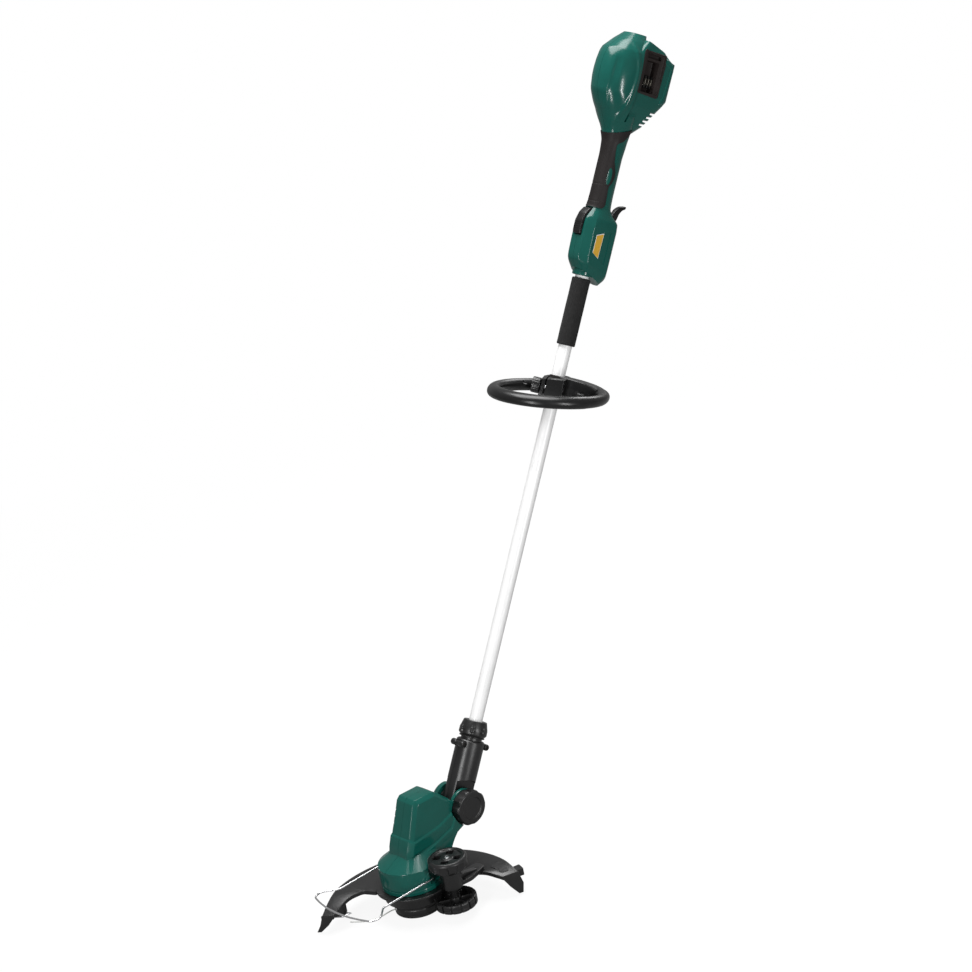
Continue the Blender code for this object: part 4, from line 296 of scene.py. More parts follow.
def blendValue(knots, values, at):
    # a smooth curve through the values that never swings past them
    if at <= knots[0]:
        return values[0]
    if at >= knots[-1]:
        return values[-1]
    k = max(i for i in range(len(knots) - 1) if knots[i] <= at)
    slopes = [(values[i + 1] - values[i]) / (knots[i + 1] - knots[i]) for i in range(len(knots) - 1)]

    def tangent(i):
        if i == 0:
            return slopes[0]
        if i == len(knots) - 1:
            return slopes[-1]
        before, after = slopes[i - 1], slopes[i]
        return 0.0 if before * after <= 0 else 2 * before * after / (before + after)

    width = knots[k + 1] - knots[k]
    t = (at - knots[k]) / width
    first = (2 * t**3 - 3 * t**2 + 1) * values[k] + (t**3 - 2 * t**2 + t) * width * tangent(k)
    return first + (3 * t**2 - 2 * t**3) * values[k + 1] + (t**3 - t**2) * width * tangent(k + 1)


def softOutline(points, radius, steps=4, closed=True):
    # each corner becomes a short curve, no longer than its sides allow
    points = [Vector(p) for p in points]
    count = len(points)
    result = []
    for i, corner in enumerate(points):
        if not closed and i in (0, count - 1):
            result.append(corner)
            continue
        before = points[i - 1] - corner
        after = points[(i + 1) % count] - corner
        reach = min(radius, before.length * 0.45, after.length * 0.45)
        if reach < 1e-6:
            result.append(corner)
            continue
        start = corner + before.normalized() * reach
        end = corner + after.normalized() * reach
        for step in range(steps + 1):
            t = step / steps
            result.append(start * (1 - t) ** 2 + corner * 2 * t * (1 - t) + end * t**2)
    return result


def closeUp(bm):
    bmesh.ops.remove_doubles(bm, verts=bm.verts, dist=1e-7)
    bmesh.ops.recalc_face_normals(bm, faces=bm.faces)
    return bm


def surface(spot, columns, rows, capped=True):
    # a grid whose points are moved to spot(column, row), joined round so that the last column meets the first
    bm = bmesh.new()
    bmesh.ops.create_grid(bm, x_segments=columns, y_segments=rows - 1, size=1.0)
    for vert in bm.verts:
        column = round((vert.co.x + 1) / 2 * columns) % columns
        row = round((vert.co.y + 1) / 2 * (rows - 1))
        vert.co = spot(column, row)
    bmesh.ops.remove_doubles(bm, verts=bm.verts, dist=1e-7)
    if capped:
        bmesh.ops.holes_fill(bm, edges=[e for e in bm.edges if e.is_boundary])
    return closeUp(bm)


def throughRings(rings):
    return surface(lambda column, row: rings[row][column], len(rings[0]), len(rings))


def turned(profile, steps=64, soften=0.0, closed=True):
    # a profile of radii and heights, turned once about Z
    outline = softOutline(profile, soften, 3, closed) if soften else [Vector(p) for p in profile]
    bm = bmesh.new()
    verts = [bm.verts.new((p.x, 0, p.y)) for p in outline]
    edges = [bm.edges.new(pair) for pair in zip(verts, verts[1:])]
    if closed:
        edges.append(bm.edges.new((verts[-1], verts[0])))
    bmesh.ops.spin(bm, geom=verts + edges, axis=(0, 0, 1), cent=(0, 0, 0), angle=2 * pi, steps=steps, use_merge=True)
    return closeUp(bm)


def bevelEdges(bm, edges, width, segments=3, clamped=False):
    bmesh.ops.bevel(bm, geom=edges, offset=width, segments=segments, affect="EDGES", profile=0.5, material=-1,
                    clamp_overlap=clamped)


def rimEdges(bm, axis, height):
    return [e for e in bm.edges if all(abs(v.co[axis] - height) < 1e-6 for v in e.verts)]


def hardEdges(bm, angle):
    return [e for e in bm.edges if len(e.link_faces) == 2 and e.calc_face_angle(0) > radians(angle)]


def roundHardEdges(bm, width, segments=3, angle=25):
    bmesh.ops.recalc_face_normals(bm, faces=bm.faces)
    bevelEdges(bm, hardEdges(bm, angle), width, segments, clamped=True)


def plate(outline, low, high, axis=0, chamfer=0.0, edge=0.0, soften=0.0, bothEnds=True):
    # a flat outline pushed along one axis, its rims chamfered, then every hard edge rounded
    points = softOutline(outline, soften, 3) if soften else [Vector(p) for p in outline]
    bm = bmesh.new()
    corners = []
    for point in points:
        spot = [point.x, point.y]
        spot.insert(axis, low)
        corners.append(bm.verts.new(spot))
    pushed = bmesh.ops.extrude_face_region(bm, geom=[bm.faces.new(corners)])
    step = [0, 0, 0]
    step[axis] = high - low
    bmesh.ops.translate(bm, vec=step, verts=[v for v in pushed["geom"] if isinstance(v, bmesh.types.BMVert)])
    if chamfer:
        bevelEdges(bm, rimEdges(bm, axis, high) + (rimEdges(bm, axis, low) if bothEnds else []), chamfer, 1)
    if edge:
        roundHardEdges(bm, edge)
    return closeUp(bm)


def block(low, high, edge=0.0, segments=3):
    bm = bmesh.new()
    bmesh.ops.create_cube(bm, size=1.0)
    size = [abs(b - a) for a, b in zip(low, high)]
    middle = [(a + b) / 2 for a, b in zip(low, high)]
    bmesh.ops.transform(bm, matrix=Matrix.Translation(middle) @ Matrix.Diagonal((*size, 1)), verts=bm.verts)
    if edge:
        bevelEdges(bm, bm.edges[:], edge, segments)
    return closeUp(bm)


def bar(radius, start, end, steps=48, endRadius=None, edge=0.0):
    # a round bar or cone between two points
    start, end = Vector(start), Vector(end)
    bm = bmesh.new()
    top = radius if endRadius is None else endRadius
    bmesh.ops.create_cone(
        bm, cap_ends=True, segments=steps, radius1=radius, radius2=top, depth=(end - start).length
    )
    if edge:
        roundHardEdges(bm, edge, 2, 40)
    turn = Vector((0, 0, 1)).rotation_difference(end - start).to_matrix().to_4x4()
    bmesh.ops.transform(bm, matrix=Matrix.Translation((start + end) / 2) @ turn, verts=bm.verts)
    return closeUp(bm)


def curvePoints(points, count):
    # even steps on a Catmull-Rom curve through the points
    points = [Vector(p) for p in points]
    ends = [2 * points[0] - points[1], *points, 2 * points[-1] - points[-2]]
    spans = len(points) - 1
    path = []
    for i in range(count):
        along = i / (count - 1) * spans
        k = min(int(along), spans - 1)
        t = along - k
        a, b, c, d = ends[k:k + 4]
        path.append(0.5 * (2 * b + (c - a) * t + (2 * a - 5 * b + 4 * c - d) * t**2 + (3 * b - a - 3 * c + d) * t**3))
    return path


def swept(points, radius, sides=16, looped=False):
    # a round bar along a path, its rings carried along without twist
    count = len(points)
    path = [Vector(p) for p in points]

    def heading(i):
        if looped:
            return (path[(i + 1) % count] - path[i - 1]).normalized()
        return (path[min(i + 1, count - 1)] - path[max(i - 1, 0)]).normalized()

    across = heading(0).orthogonal().normalized()
    rings = []
    for i in range(count):
        along = heading(i)
        across = (across - along * across.dot(along)).normalized()
        other = along.cross(across)
        size = radius(i / (count - 1)) if callable(radius) else radius
        ring = [path[i] + size * (across * cos(2 * pi * j / sides) + other * sin(2 * pi * j / sides)) for j in range(sides)]
        rings.append(ring)
    return throughRings(rings)


def smoothMesh(mesh, angle):
    mesh.shade_smooth()
    mesh.set_sharp_from_angle(angle=radians(angle))


def toObject(name, bm, matrix=headFrame, look=None, angle=32):
    # writes the shape at its place in the frame; the object itself stays at the origin
    bmesh.ops.transform(bm, matrix=matrix, verts=bm.verts)
    mesh = bpy.data.meshes.new(name)
    bm.to_mesh(mesh)
    bm.free()
    smoothMesh(mesh, angle)
    obj = bpy.data.objects.new(name, mesh)
    scene.collection.objects.link(obj)
    if look:
        mesh.materials.append(looks[look])
    return obj


def bake(obj, angle=32):
    bpy.context.view_layer.update()
    graph = bpy.context.evaluated_depsgraph_get()
    mesh = bpy.data.meshes.new_from_object(obj.evaluated_get(graph))
    kept = list(obj.data.materials)[:1]
    obj.modifiers.clear()
    obj.data = mesh
    mesh.materials.clear()
    for look in kept:
        mesh.materials.append(look)
    smoothMesh(mesh, angle)


def combine(obj, tools, operation, matrix=headFrame):
    # Booleans with the tools' shapes, then the result becomes the object's own mesh
    made = []
    for index, tool in enumerate(tools):
        if isinstance(tool, bmesh.types.BMesh):
            tool = toObject(obj.name + "Tool" + str(index), tool, matrix)
        made.append(tool)
        modifier = obj.modifiers.new("tool" + str(index), "BOOLEAN")
        modifier.object = tool
        modifier.operation = operation
        modifier.solver = "MANIFOLD"
    bake(obj)
    for tool in made:
        bpy.data.objects.remove(tool)


def fuse(obj, tools, matrix=headFrame):
    combine(obj, tools, "UNION", matrix)


def carve(obj, tools, matrix=headFrame):
    combine(obj, tools, "DIFFERENCE", matrix)


def keepWithin(obj, tool, matrix=headFrame):
    combine(obj, [tool], "INTERSECT", matrix)


def softenEdges(obj, width, segments=2, angle=32):
    modifier = obj.modifiers.new("edges", "BEVEL")
    modifier.width = width
    modifier.segments = segments
    modifier.limit_method = "ANGLE"
    modifier.angle_limit = radians(angle)
    modifier.miter_outer = "MITER_ARC"
    modifier.use_clamp_overlap = True
    bake(obj, angle)


def dress(obj, body, *replaced):
    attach(obj, body)
    if replaced:
        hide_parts(*replaced)
    return obj


def piece(name, shape, matrix, look, body, *replaced, add=(), cut=(), edges=None, angle=32):
    # a shape with what is added and cut away, its edges softened, on its body and for the nodes it stands for
    obj = toObject(name, shape, matrix, look, angle)
    if add:
        fuse(obj, add, matrix)
    if cut:
        carve(obj, cut, matrix)
    if edges:
        softenEdges(obj, *edges)
    return dress(obj, body, *replaced)


def append(joined, bm):
    # adds one bmesh to another
    carried = bpy.data.meshes.new("copy")
    bm.to_mesh(carried)
    bm.free()
    joined.from_mesh(carried)
    bpy.data.meshes.remove(carried)
    return joined


def around(count, shape, start=0.0):
    # copies of a shape in a circle about Z, as one bmesh
    joined = bmesh.new()
    for i in range(count):
        turn = Matrix.Rotation(start + 2 * pi * i / count, 3, "Z")
        single = shape()
        bmesh.ops.rotate(single, cent=(0, 0, 0), matrix=turn, verts=single.verts)
        append(joined, single)
    return joined


def moved(bm, at=(0, 0, 0), turn=None):
    matrix = Matrix.Translation(at) @ (turn.to_4x4() if turn else Matrix.Identity(4))
    bmesh.ops.transform(bm, matrix=matrix, verts=bm.verts)
    return bm


alongX = Matrix.Rotation(pi / 2, 4, "Y")
againstX = Matrix.Rotation(-pi / 2, 4, "Y")
seam = 0.0002


def halfSpace(side, low=-0.3, high=1.5, wide=0.3):
    near, far = sorted((side * seam, side * wide))
    return block((near, -wide, low), (far, wide, high))


# Tube and foam sleeve; room is left round fitted pieces
tube = {"radius": 0.011, "wall": 0.0015, "start": 0.050, "end": 0.905}
foam = {"radius": 0.015, "start": 0.754, "end": 0.864, "swell": 0.00018, "edge": 0.0022}
room = 0.0003


def buildTube():
    outer, inner = tube["radius"], tube["radius"] - tube["wall"]
    profile = [(outer, tube["end"]), (outer, tube["start"]), (inner, tube["start"]), (inner, tube["end"])]
    piece("shaftTube", turned(profile, 96, 0.0004), shaftFrame, "tube", "shaft", "shaft_tube")


def buildFoam():
    # a sleeve that swells and dents a little, as stretched foam does
    rows, columns = 150, 96
    inner = tube["radius"] + room
    length = foam["end"] - foam["start"]

    def spot(column, row):
        angle = 2 * pi * column / columns
        if row in (0, rows - 1):
            z = foam["start"] if row == 0 else foam["end"]
            return Vector((inner * cos(angle), inner * sin(angle), z))
        z = foam["start"] + length * (row - 1) / (rows - 3)
        fromEnd = min(z - foam["start"], foam["end"] - z)
        t = min(fromEnd / foam["edge"], 1.0)
        radius = foam["radius"] - foam["edge"] * (1 - (1 - (1 - t) ** 2) ** 0.5) * 0.8
        direction = Vector((cos(angle), sin(angle), 0))
        radius += foam["swell"] * noise.noise(Vector((direction.x * 0.9, direction.y * 0.9, z * 60)))
        return direction * radius + Vector((0, 0, z))

    bm = surface(spot, columns, rows, capped=False)
    bmesh.ops.bridge_loops(bm, edges=[e for e in bm.edges if e.is_boundary])
    obj = piece("foamSleeve", closeUp(bm), shaftFrame, "foam", "shaft", "foam_grip")


buildTube()
buildFoam()
print("tube and foam made")


# Rear handle. Sections across the shaft: station, half width, height of the widest line, reach to the
# top side and to the underside, and the corner powers on both.
handle = {
    "stations": (0.8710, 0.8860, 0.9000, 0.9460, 0.9580, 0.9720, 0.9820, 1.0050, 1.0600, 1.0840, 1.1000, 1.1200,
                 1.1470, 1.1650, 1.1900, 1.2160, 1.2310, 1.2470, 1.2610),
    "slant": (-0.39, -0.25, -0.10, 0, 0, 0, 0, 0, 0, 0, 0, 0, 0, 0, 0, 0, 0, 0, 0),
    "half": (0.0190, 0.0236, 0.0237, 0.0237, 0.0230, 0.0190, 0.0165, 0.0160, 0.0160, 0.0175, 0.0215, 0.0290,
             0.0380, 0.0405, 0.0415, 0.0402, 0.0378, 0.0285, 0.0178),
    "middle": (0, 0.002, 0.002, 0.002, 0.001, 0, 0, 0, 0, 0, -0.001, -0.004, -0.010, -0.014, -0.016, -0.016,
               -0.015, -0.013, -0.009),
    "top": (0.0200, 0.0290, 0.0305, 0.0315, 0.0305, 0.0240, 0.0190, 0.0180, 0.0180, 0.0195, 0.0250, 0.0365,
            0.0550, 0.0635, 0.0662, 0.0645, 0.0595, 0.0440, 0.0285),
    "under": (0.0330, 0.0380, 0.0384, 0.0385, 0.0370, 0.0240, 0.0205, 0.0198, 0.0198, 0.0205, 0.0200, 0.0150,
              0.0060, 0.0000, -0.0020, -0.0020, -0.0010, 0.0000, 0.0070),
    "topPower": (2.2, 3.2, 3.6, 3.6, 3.4, 2.5, 2.3, 2.2, 2.2, 2.2, 2.2, 2.2, 2.2, 2.2, 2.2, 2.2, 2.2, 2.2, 2.2),
    "underPower": (2.2, 4.5, 5.0, 5.0, 5.0, 3.0, 2.3, 2.2, 2.2, 2.4, 2.4, 2.4, 2.4, 2.4, 2.4, 2.4, 2.4, 2.4, 2.4),
    "hoodStation": 1.105,
    "creaseStation": 1.231,
    "points": 170,
    "step": 0.0022,
    "hoodStep": 0.0009,
}
blockShape = {
    "stations": (1.1065, 1.1200, 1.1480, 1.1600, 1.1680, 1.2290, 1.2360, 1.2520),
    "slant": (0, 0, 0, 0, 0, 0, -0.10, -0.28),
    "half": (0.0180, 0.0262, 0.0350, 0.0368, 0.0380, 0.0380, 0.0376, 0.0335),
    "top": (0.0080, 0.0150, 0.0240, 0.0260, 0.0280, 0.0260, 0.0200, 0.0070),
    "under": (0.0225, 0.0340, 0.0490, 0.0560, 0.0600, 0.0610, 0.0540, 0.0390),
    "power": (3, 4, 6, 8, 9, 9, 8, 7),
}
hood = {
    "panelStations": (1.128, 1.140, 1.160, 1.184, 1.205, 1.222, 1.232),
    "panelHalf": (0.0100, 0.0150, 0.0200, 0.0225, 0.0225, 0.0210, 0.0185),
    "panelRise": 0.0007,
    "bandWidth": 0.0075,
    "bandDepth": 0.0013,
    "ridgeStations": (1.105, 1.127, 1.162, 1.197, 1.240),
    "ridgeAcross": (-0.026, -0.028, -0.0235, -0.0215, -0.0310),
    "ridgeRise": 0.0016,
    "ridgeWidth": 0.0060,
    "lip": -0.0150,
}


def superHalf(half, middle, top, under, topPower, underPower, samples=160):
    # the half outline from the top seam round the side to the underside seam
    points = []
    for i in range(samples + 1):
        angle = -pi / 2 + pi * i / samples
        power = topPower if angle < 0 else underPower
        across = half * max(cos(angle), 0.0) ** (2 / power)
        reach = top + middle if angle < 0 else under - middle
        points.append(Vector((across, middle + (-1 if angle < 0 else 1) * reach * abs(sin(angle)) ** (2 / power))))
    return points


def evenly(points, count):
    # the same outline with points at even steps along it
    lengths = [0.0]
    for a, b in zip(points, points[1:]):
        lengths.append(lengths[-1] + (b - a).length)
    result = []
    k = 0
    for i in range(count):
        target = lengths[-1] * i / (count - 1)
        while k < len(points) - 2 and lengths[k + 1] < target:
            k += 1
        span = max(lengths[k + 1] - lengths[k], 1e-12)
        result.append(points[k].lerp(points[k + 1], min(max((target - lengths[k]) / span, 0.0), 1.0)))
    return result


def chamferedHalf(half, top, under, cut, corner):
    points = [(0, -top), (half - cut, -top), (half, -top + cut * 1.1), (half, under - corner), (half - corner, under),
              (0, under)]
    return softOutline(points, 0.0015, 6, closed=False)


def hoodRelief(x, y, station):
    # raised crown panel, the sunk band beside it and the ridge along the widest line
    rise = 0.0
    if station > 1.12 and y < hood["ridgeAcross"][0]:
        edge = blendValue(hood["panelStations"], hood["panelHalf"], station)
        inLength = smoothStep(1.1290, 1.1500, station) * (1 - smoothStep(1.2060, 1.2240, station))
        inPanel = 1 - smoothStep(edge - 0.0022, edge + 0.0010, x)
        far = edge + hood["bandWidth"]
        inBand = smoothStep(edge - 0.0004, edge + 0.0030, x) * (1 - smoothStep(far - 0.0024, far + 0.0024, x))
        fade = smoothStep(1.165, 1.195, station)
        rise += inLength * (hood["panelRise"] * inPanel - hood["bandDepth"] * inBand * fade)
    if station > handle["hoodStation"]:
        ridge = blendValue(hood["ridgeStations"], hood["ridgeAcross"], station)
        near = max(0.0, 1 - abs(y - ridge) / hood["ridgeWidth"])
        inLength = smoothStep(1.105, 1.135, station) * (1 - smoothStep(1.236, 1.250, station))
        rise += hood["ridgeRise"] * smoothStep(0, 1, near) * inLength
    return rise


def handleHalfRing(station, count, grow=0.0):
    knots = handle["stations"]
    keys = ("half", "middle", "top", "under", "slant", "topPower", "underPower")
    values = {key: blendValue(knots, handle[key], station) for key in keys}
    if station > handle["creaseStation"]:
        values.update({key: mixAt(knots, handle[key], station) for key in keys[:4]})
    half, top, under = values["half"] + grow, values["top"] + grow, values["under"] + grow
    outline = superHalf(half, values["middle"], top, under, values["topPower"], values["underPower"])
    points = evenly(outline, count)
    boxy = smoothStep(0.8740, 0.8860, station) * (1 - smoothStep(0.9500, 0.9690, station))
    if boxy > 0:
        square = evenly(chamferedHalf(half, top, under, 0.0115, 0.0100), count)
        points = [a.lerp(b, boxy) for a, b in zip(points, square)]
    return points, values["slant"]


def handleRings(side, count, stations):
    rings = []
    for station in stations:
        points, slant = handleHalfRing(station, count)
        ring = []
        for i, point in enumerate(points):
            before, after = points[max(i - 1, 0)], points[min(i + 1, count - 1)]
            normal = Vector((after.y - before.y, before.x - after.x)).normalized()
            lift = hoodRelief(point.x, point.y, station)
            x, y = point.x + normal.x * lift, point.y + normal.y * lift
            ring.append(Vector((side * max(x, seam), y, station + slant * y)))
        ring[0].x = ring[-1].x = side * seam
        rings.append(ring)
    return rings


def stationsBetween(start, end, step):
    count = max(2, round((end - start) / step) + 1)
    return [start + (end - start) * i / (count - 1) for i in range(count)]


def blockRings(side, count):
    rings = []
    knots = blockShape["stations"]
    for station in stationsBetween(knots[0], knots[-1], 0.002):
        half, top, under, power, slant = (
            mixAt(knots, blockShape[key], station) for key in ("half", "top", "under", "power", "slant")
        )
        points = evenly(superHalf(half, 0.005, top, under, power, power), count)
        rings.append([Vector((side * max(p.x, seam), p.y, station + slant * p.y)) for p in points])
    return rings


def blockHalf(station):
    return mixAt(blockShape["stations"], blockShape["half"], station)


def besideBlock(side, start, end, section):
    # a bar beside the block; section gives its inner face, its top and its bottom at a station
    rings = []
    for station in stationsBetween(start, end, 0.002):
        near, top, bottom = section(station)
        ring = [(near, top), (0.07, top), (0.07, bottom), (near, bottom)]
        rings.append([Vector((side * x, y, station)) for x, y in ring])
    return throughRings(rings)


def hoodTrim(station):
    # the hood's lower lip: below it the hood is cut back flush with the block
    flare = 0.006 * (1 - smoothStep(1.118, 1.140, station))
    lip = hood["lip"] - 0.35 * max(0.0, station - handle["creaseStation"])
    return blockHalf(min(station, blockShape["stations"][-1])) - 0.0001 + flare, lip, 0.03


def lipGroove(station):
    lip = hood["lip"] - 0.0002
    wide = 0.0014 + 0.0018 * (1 - smoothStep(1.125, 1.165, station))
    return blockHalf(station) - 0.0022, lip, lip + wide


blockCorner = [(0.0330, 1.2335), (0.0405, 1.2335), (0.0425, 1.2290), (0.0535, 1.2270), (0.0548, 1.2180),
               (0.0502, 1.1690), (0.0480, 1.1635), (0.0400, 1.1600), (0.0400, 1.1690), (0.0440, 1.1740),
               (0.0475, 1.2190), (0.0400, 1.2230), (0.0330, 1.2260)]
collarProfile = [(0, 0.886), (0.0170, 0.886), (0.0170, 0.8695), (0.0160, 0.8680), (0, 0.8680)]
bay = {"start": 1.171, "length": 0.068, "top": -0.012, "width": 0.046, "depth": 0.021, "half": 0.038}
fins = {"start": 1.1215, "pitch": 0.0068, "gap": 0.0036, "count": 4, "from": 0.0190, "rise": 0.0040}
label = {"corners": [(-0.0150, 0.9355), (0.0180, 0.9465), (0.0178, 0.8915), (-0.0160, 0.9095)], "depth": 0.0008,
         "face": 0.0237}
lock = {"half": 0.009, "start": 0.930, "length": 0.0475, "floor": -0.014}
triggerPlace = {"y": 0.024, "z": 0.960, "half": 0.0065, "room": 0.0005}


def sideSpan(side, near, far):
    return sorted((side * near, side * far))


def buildHandleHalf(side, tag):
    first, turn, crease, last = handle["stations"][0], handle["hoodStation"], handle["creaseStation"], handle["stations"][-1]
    stations = stationsBetween(first, turn, handle["step"])
    stations += stationsBetween(turn, crease, handle["hoodStep"])[1:]
    stations += stationsBetween(crease, last, handle["step"])[1:]
    name = "handle" + tag
    shell = toObject(name, throughRings(handleRings(side, handle["points"], stations)), shaftFrame, "green")
    carve(shell, [besideBlock(side, 1.116, 1.262, hoodTrim)], shaftFrame)
    collar = toObject(name + "Collar", turned(collarProfile, 64, 0.0006, closed=False), shaftFrame)
    keepWithin(collar, halfSpace(side), shaftFrame)
    corner = plate(blockCorner, *sideSpan(side, 0.0300, 0.0388), chamfer=0.0012, edge=0.0004)
    fuse(shell, [throughRings(blockRings(side, 96)), corner, collar], shaftFrame)
    low, high = sideSpan(side, bay["half"] - bay["depth"] - room, 0.07)
    half = triggerPlace["half"] + triggerPlace["room"]
    tools = [
        besideBlock(side, 1.120, 1.226, lipGroove),
        block((low, bay["top"] - room, bay["start"] - room),
              (high, bay["top"] + bay["width"] + room, bay["start"] + bay["length"] + room)),
        block((-half, 0.012, 0.952), (half, 0.036, 0.9625)),
        block((-half, 0.0125, 0.9615), (half, 0.070, 0.9860)),
        block((-lock["half"], -0.05, lock["start"]), (lock["half"], lock["floor"], lock["start"] + lock["length"])),
        plate(label["corners"], *sideSpan(side, label["face"] - label["depth"], 0.03), soften=0.0015),
        bar(tube["radius"] + room, (0, 0, 0.85), (0, 0, tube["end"] + room), 64),
    ]
    for i in range(fins["count"]):
        start = fins["start"] + i * fins["pitch"]
        low = fins["from"] + i * fins["rise"]
        tools.append(block((-0.05, low, start), (0.05, 0.08, start + fins["gap"]), 0.0004, 2))
    carve(shell, tools, shaftFrame)
    dress(shell, "shaft", "handle_shell_" + tag.lower())


for side, tag in ((1, "Left"), (-1, "Right")):
    buildHandleHalf(side, tag)
print("handle shells made")


# Overmould: a rubber skin round the grip, cut away along the top where the shell shows
mould = {"grow": 0.0014, "start": 0.9785, "end": 1.1130, "grooves": (0.9885, 1.0165), "grooveDepth": 0.0006,
         "grooveHalf": 0.0011, "reach": 0.06}
mouldEdge = [(-0.060, 0.9785), (-0.008, 0.9785), (-0.0030, 0.9850), (-0.0042, 1.0050), (-0.0050, 1.0140),
             (-0.0010, 1.0200), (0.0022, 1.0265), (0.0034, 1.0330), (0.0024, 1.0400), (-0.0010, 1.0465),
             (-0.0045, 1.0540), (-0.0056, 1.0620), (-0.0076, 1.0730), (-0.0086, 1.0815), (-0.0060, 1.0860),
             (0.0004, 1.0888), (0.0080, 1.0995), (0.0130, 1.1120), (-0.060, 1.0850)]
lens = {"station": 1.0311, "half": 0.0138, "across": -0.0086, "high": 0.0052, "low": 0.0030, "gap": 0.0003}


def lensPlate(shrink):
    # an arc above and one below, between the window's two ends
    half = lens["half"] - shrink
    arcs = ((1, lens["high"] - shrink, range(15)), (-1, lens["low"] - shrink, range(1, 14)))
    outline = [(lens["across"] + way * bulge * sin(pi * i / 14) ** 0.8, lens["station"] - way * half * cos(pi * i / 14))
               for way, bulge, steps in arcs for i in steps]
    return plate(outline, -mould["reach"], mould["reach"])


def gripRings(stations, count, grow, grooveDepth=0.0):
    # rings round the whole grip, drawn in at the grooves
    rings = []
    for station in stations:
        points, slant = handleHalfRing(station, count, grow)
        groove = min(sum(max(0.0, 1 - abs(station - at) / mould["grooveHalf"]) for at in mould["grooves"]), 1.0)
        whole = points + [Vector((-p.x, p.y)) for p in reversed(points[1:-1])]
        whole = [p - p.normalized() * grooveDepth * groove for p in whole]
        rings.append([Vector((p.x, p.y, station + slant * p.y)) for p in whole])
    return rings


def buildOvermould():
    stations = stationsBetween(mould["start"] - 0.004, mould["end"] + 0.002, 0.0009)
    outer = gripRings(stations, 90, mould["grow"], mould["grooveDepth"])
    inner = gripRings(stations, 60, -0.0002)
    for ring, past in ((inner[0], -0.01), (inner[-1], 0.01)):
        for point in ring:
            point.z += past
    skin = toObject("gripOvermould", throughRings(outer), shaftFrame, "rubber")
    window = toObject("gripWindow", throughRings(outer), shaftFrame, "green")
    keepWithin(skin, plate(mouldEdge, -mould["reach"], mould["reach"], soften=0.0030), shaftFrame)
    carve(skin, [throughRings(inner), lensPlate(0.0)], shaftFrame)
    softenEdges(skin, 0.00035, 2, 40)
    dress(skin, "shaft", "grip_overmould")
    keepWithin(window, lensPlate(lens["gap"]), shaftFrame)
    carve(window, [throughRings(inner)], shaftFrame)
    dress(window, "shaft")


buildOvermould()
print("overmould made")


# Battery bay: liner, terminal block, contact blades, one set a side
bayCut = {"face": 0.035, "inset": 0.002, "deep": 0.019, "pocket": (-0.0032, 0.0240, 1.1735, 1.224),
          "latch": (-0.004, 0.026, 1.228, 1.235), "room": 0.0002}
bayFlange = [(-0.0135, 1.1700), (0.0330, 1.1680), (0.0352, 1.2290), (-0.0150, 1.2410)]
blades = {"middle": 0.013, "pitch": 0.0065, "half": 0.0004, "low": 1.1858, "high": 1.1962}


def buildBay(side, tag):
    def box(x0, x1, y0, y1, z0, z1, edge=0.0):
        low, high = sideSpan(side, x0, x1)
        return block((low, y0, z0), (high, y1, z1), edge, 2)

    end, inset = tag.lower(), bayCut["inset"]
    y0, z0 = bay["top"] + bayCut["room"], bay["start"] + bayCut["room"]
    y1, z1 = bay["top"] + bay["width"] - bayCut["room"], bay["start"] + bay["length"] - bayCut["room"]
    cuts = [
        box(bayCut["face"], 0.06, y0 + inset, y1 - inset, z0 + inset, z1 - inset, 0.0015),
        box(bayCut["deep"], 0.06, *bayCut["pocket"], 0.0015),
        box(0.028, 0.06, *bayCut["latch"], 0.0010),
    ]
    flange = plate(bayFlange, *sideSpan(side, 0.0376, 0.0387), soften=0.0045, edge=0.0003)
    piece("bayLiner" + tag, box(0.0172, 0.0385, y0, y1, z0, z1, 0.0009), shaftFrame, "bay",
          "shaft", "bay_liner_" + end, add=[flange], cut=cuts, edges=(0.0004, 2, 35))
    ribs = [box(0.0225, 0.0272, 0.0012 + 0.0065 * i, 0.0054 + 0.0065 * i, 1.1815, 1.2005, 0.0005) for i in range(4)]
    piece("terminalBlock" + tag, box(0.0193, 0.0236, 0.001, 0.025, 1.181, 1.201, 0.0006), shaftFrame, "satin",
          "shaft", "terminal_block_" + end, add=ribs)
    fingers = []
    for i in (-1, 0, 1):
        y = blades["middle"] + i * blades["pitch"]
        near, far = sideSpan(side, 0.0243, 0.0310)
        shape = [(near, blades["low"]), (far, blades["low"]), (far, blades["high"]), (near, blades["high"])]
        fingers.append(plate(shape, y - blades["half"], y + blades["half"], axis=1, soften=0.0012, edge=0.00012))
    piece("contactBlades" + tag, box(0.0238, 0.0246, 0.004, 0.022, 1.1845, 1.1975, 0.0002), shaftFrame, "contact",
          "shaft", "contact_blades_" + end, add=fingers)


for side, tag in ((1, "Left"), (-1, "Right")):
    buildBay(side, tag)
print("battery bays made")


# Trigger, lock-off button and label plates of the trigger housing
trigger = {"half": 0.0046, "edge": 0.0016, "hub": 0.0052, "pin": 0.0021}
triggerBlade = [(0.009, -0.001), (0.014, 0.002), (0.0175, 0.008), (0.0195, 0.017), (0.0245, 0.0245), (0.0318, 0.0284),
                (0.0314, 0.0326), (0.020, 0.030), (0.012, 0.024), (0.006, 0.012), (-0.0015, 0.006)]
lockButton = {"half": 0.0083, "edge": 0.0012, "bore": 0.0042, "ribs": (0.9385, 0.9420, 0.9455, 0.9490)}
lockOutline = [(-0.0195, 0.9307), (-0.0348, 0.9317), (-0.0363, 0.9365), (-0.0363, 0.9525), (-0.0318, 0.9665),
               (-0.0243, 0.9758), (-0.0195, 0.9766)]
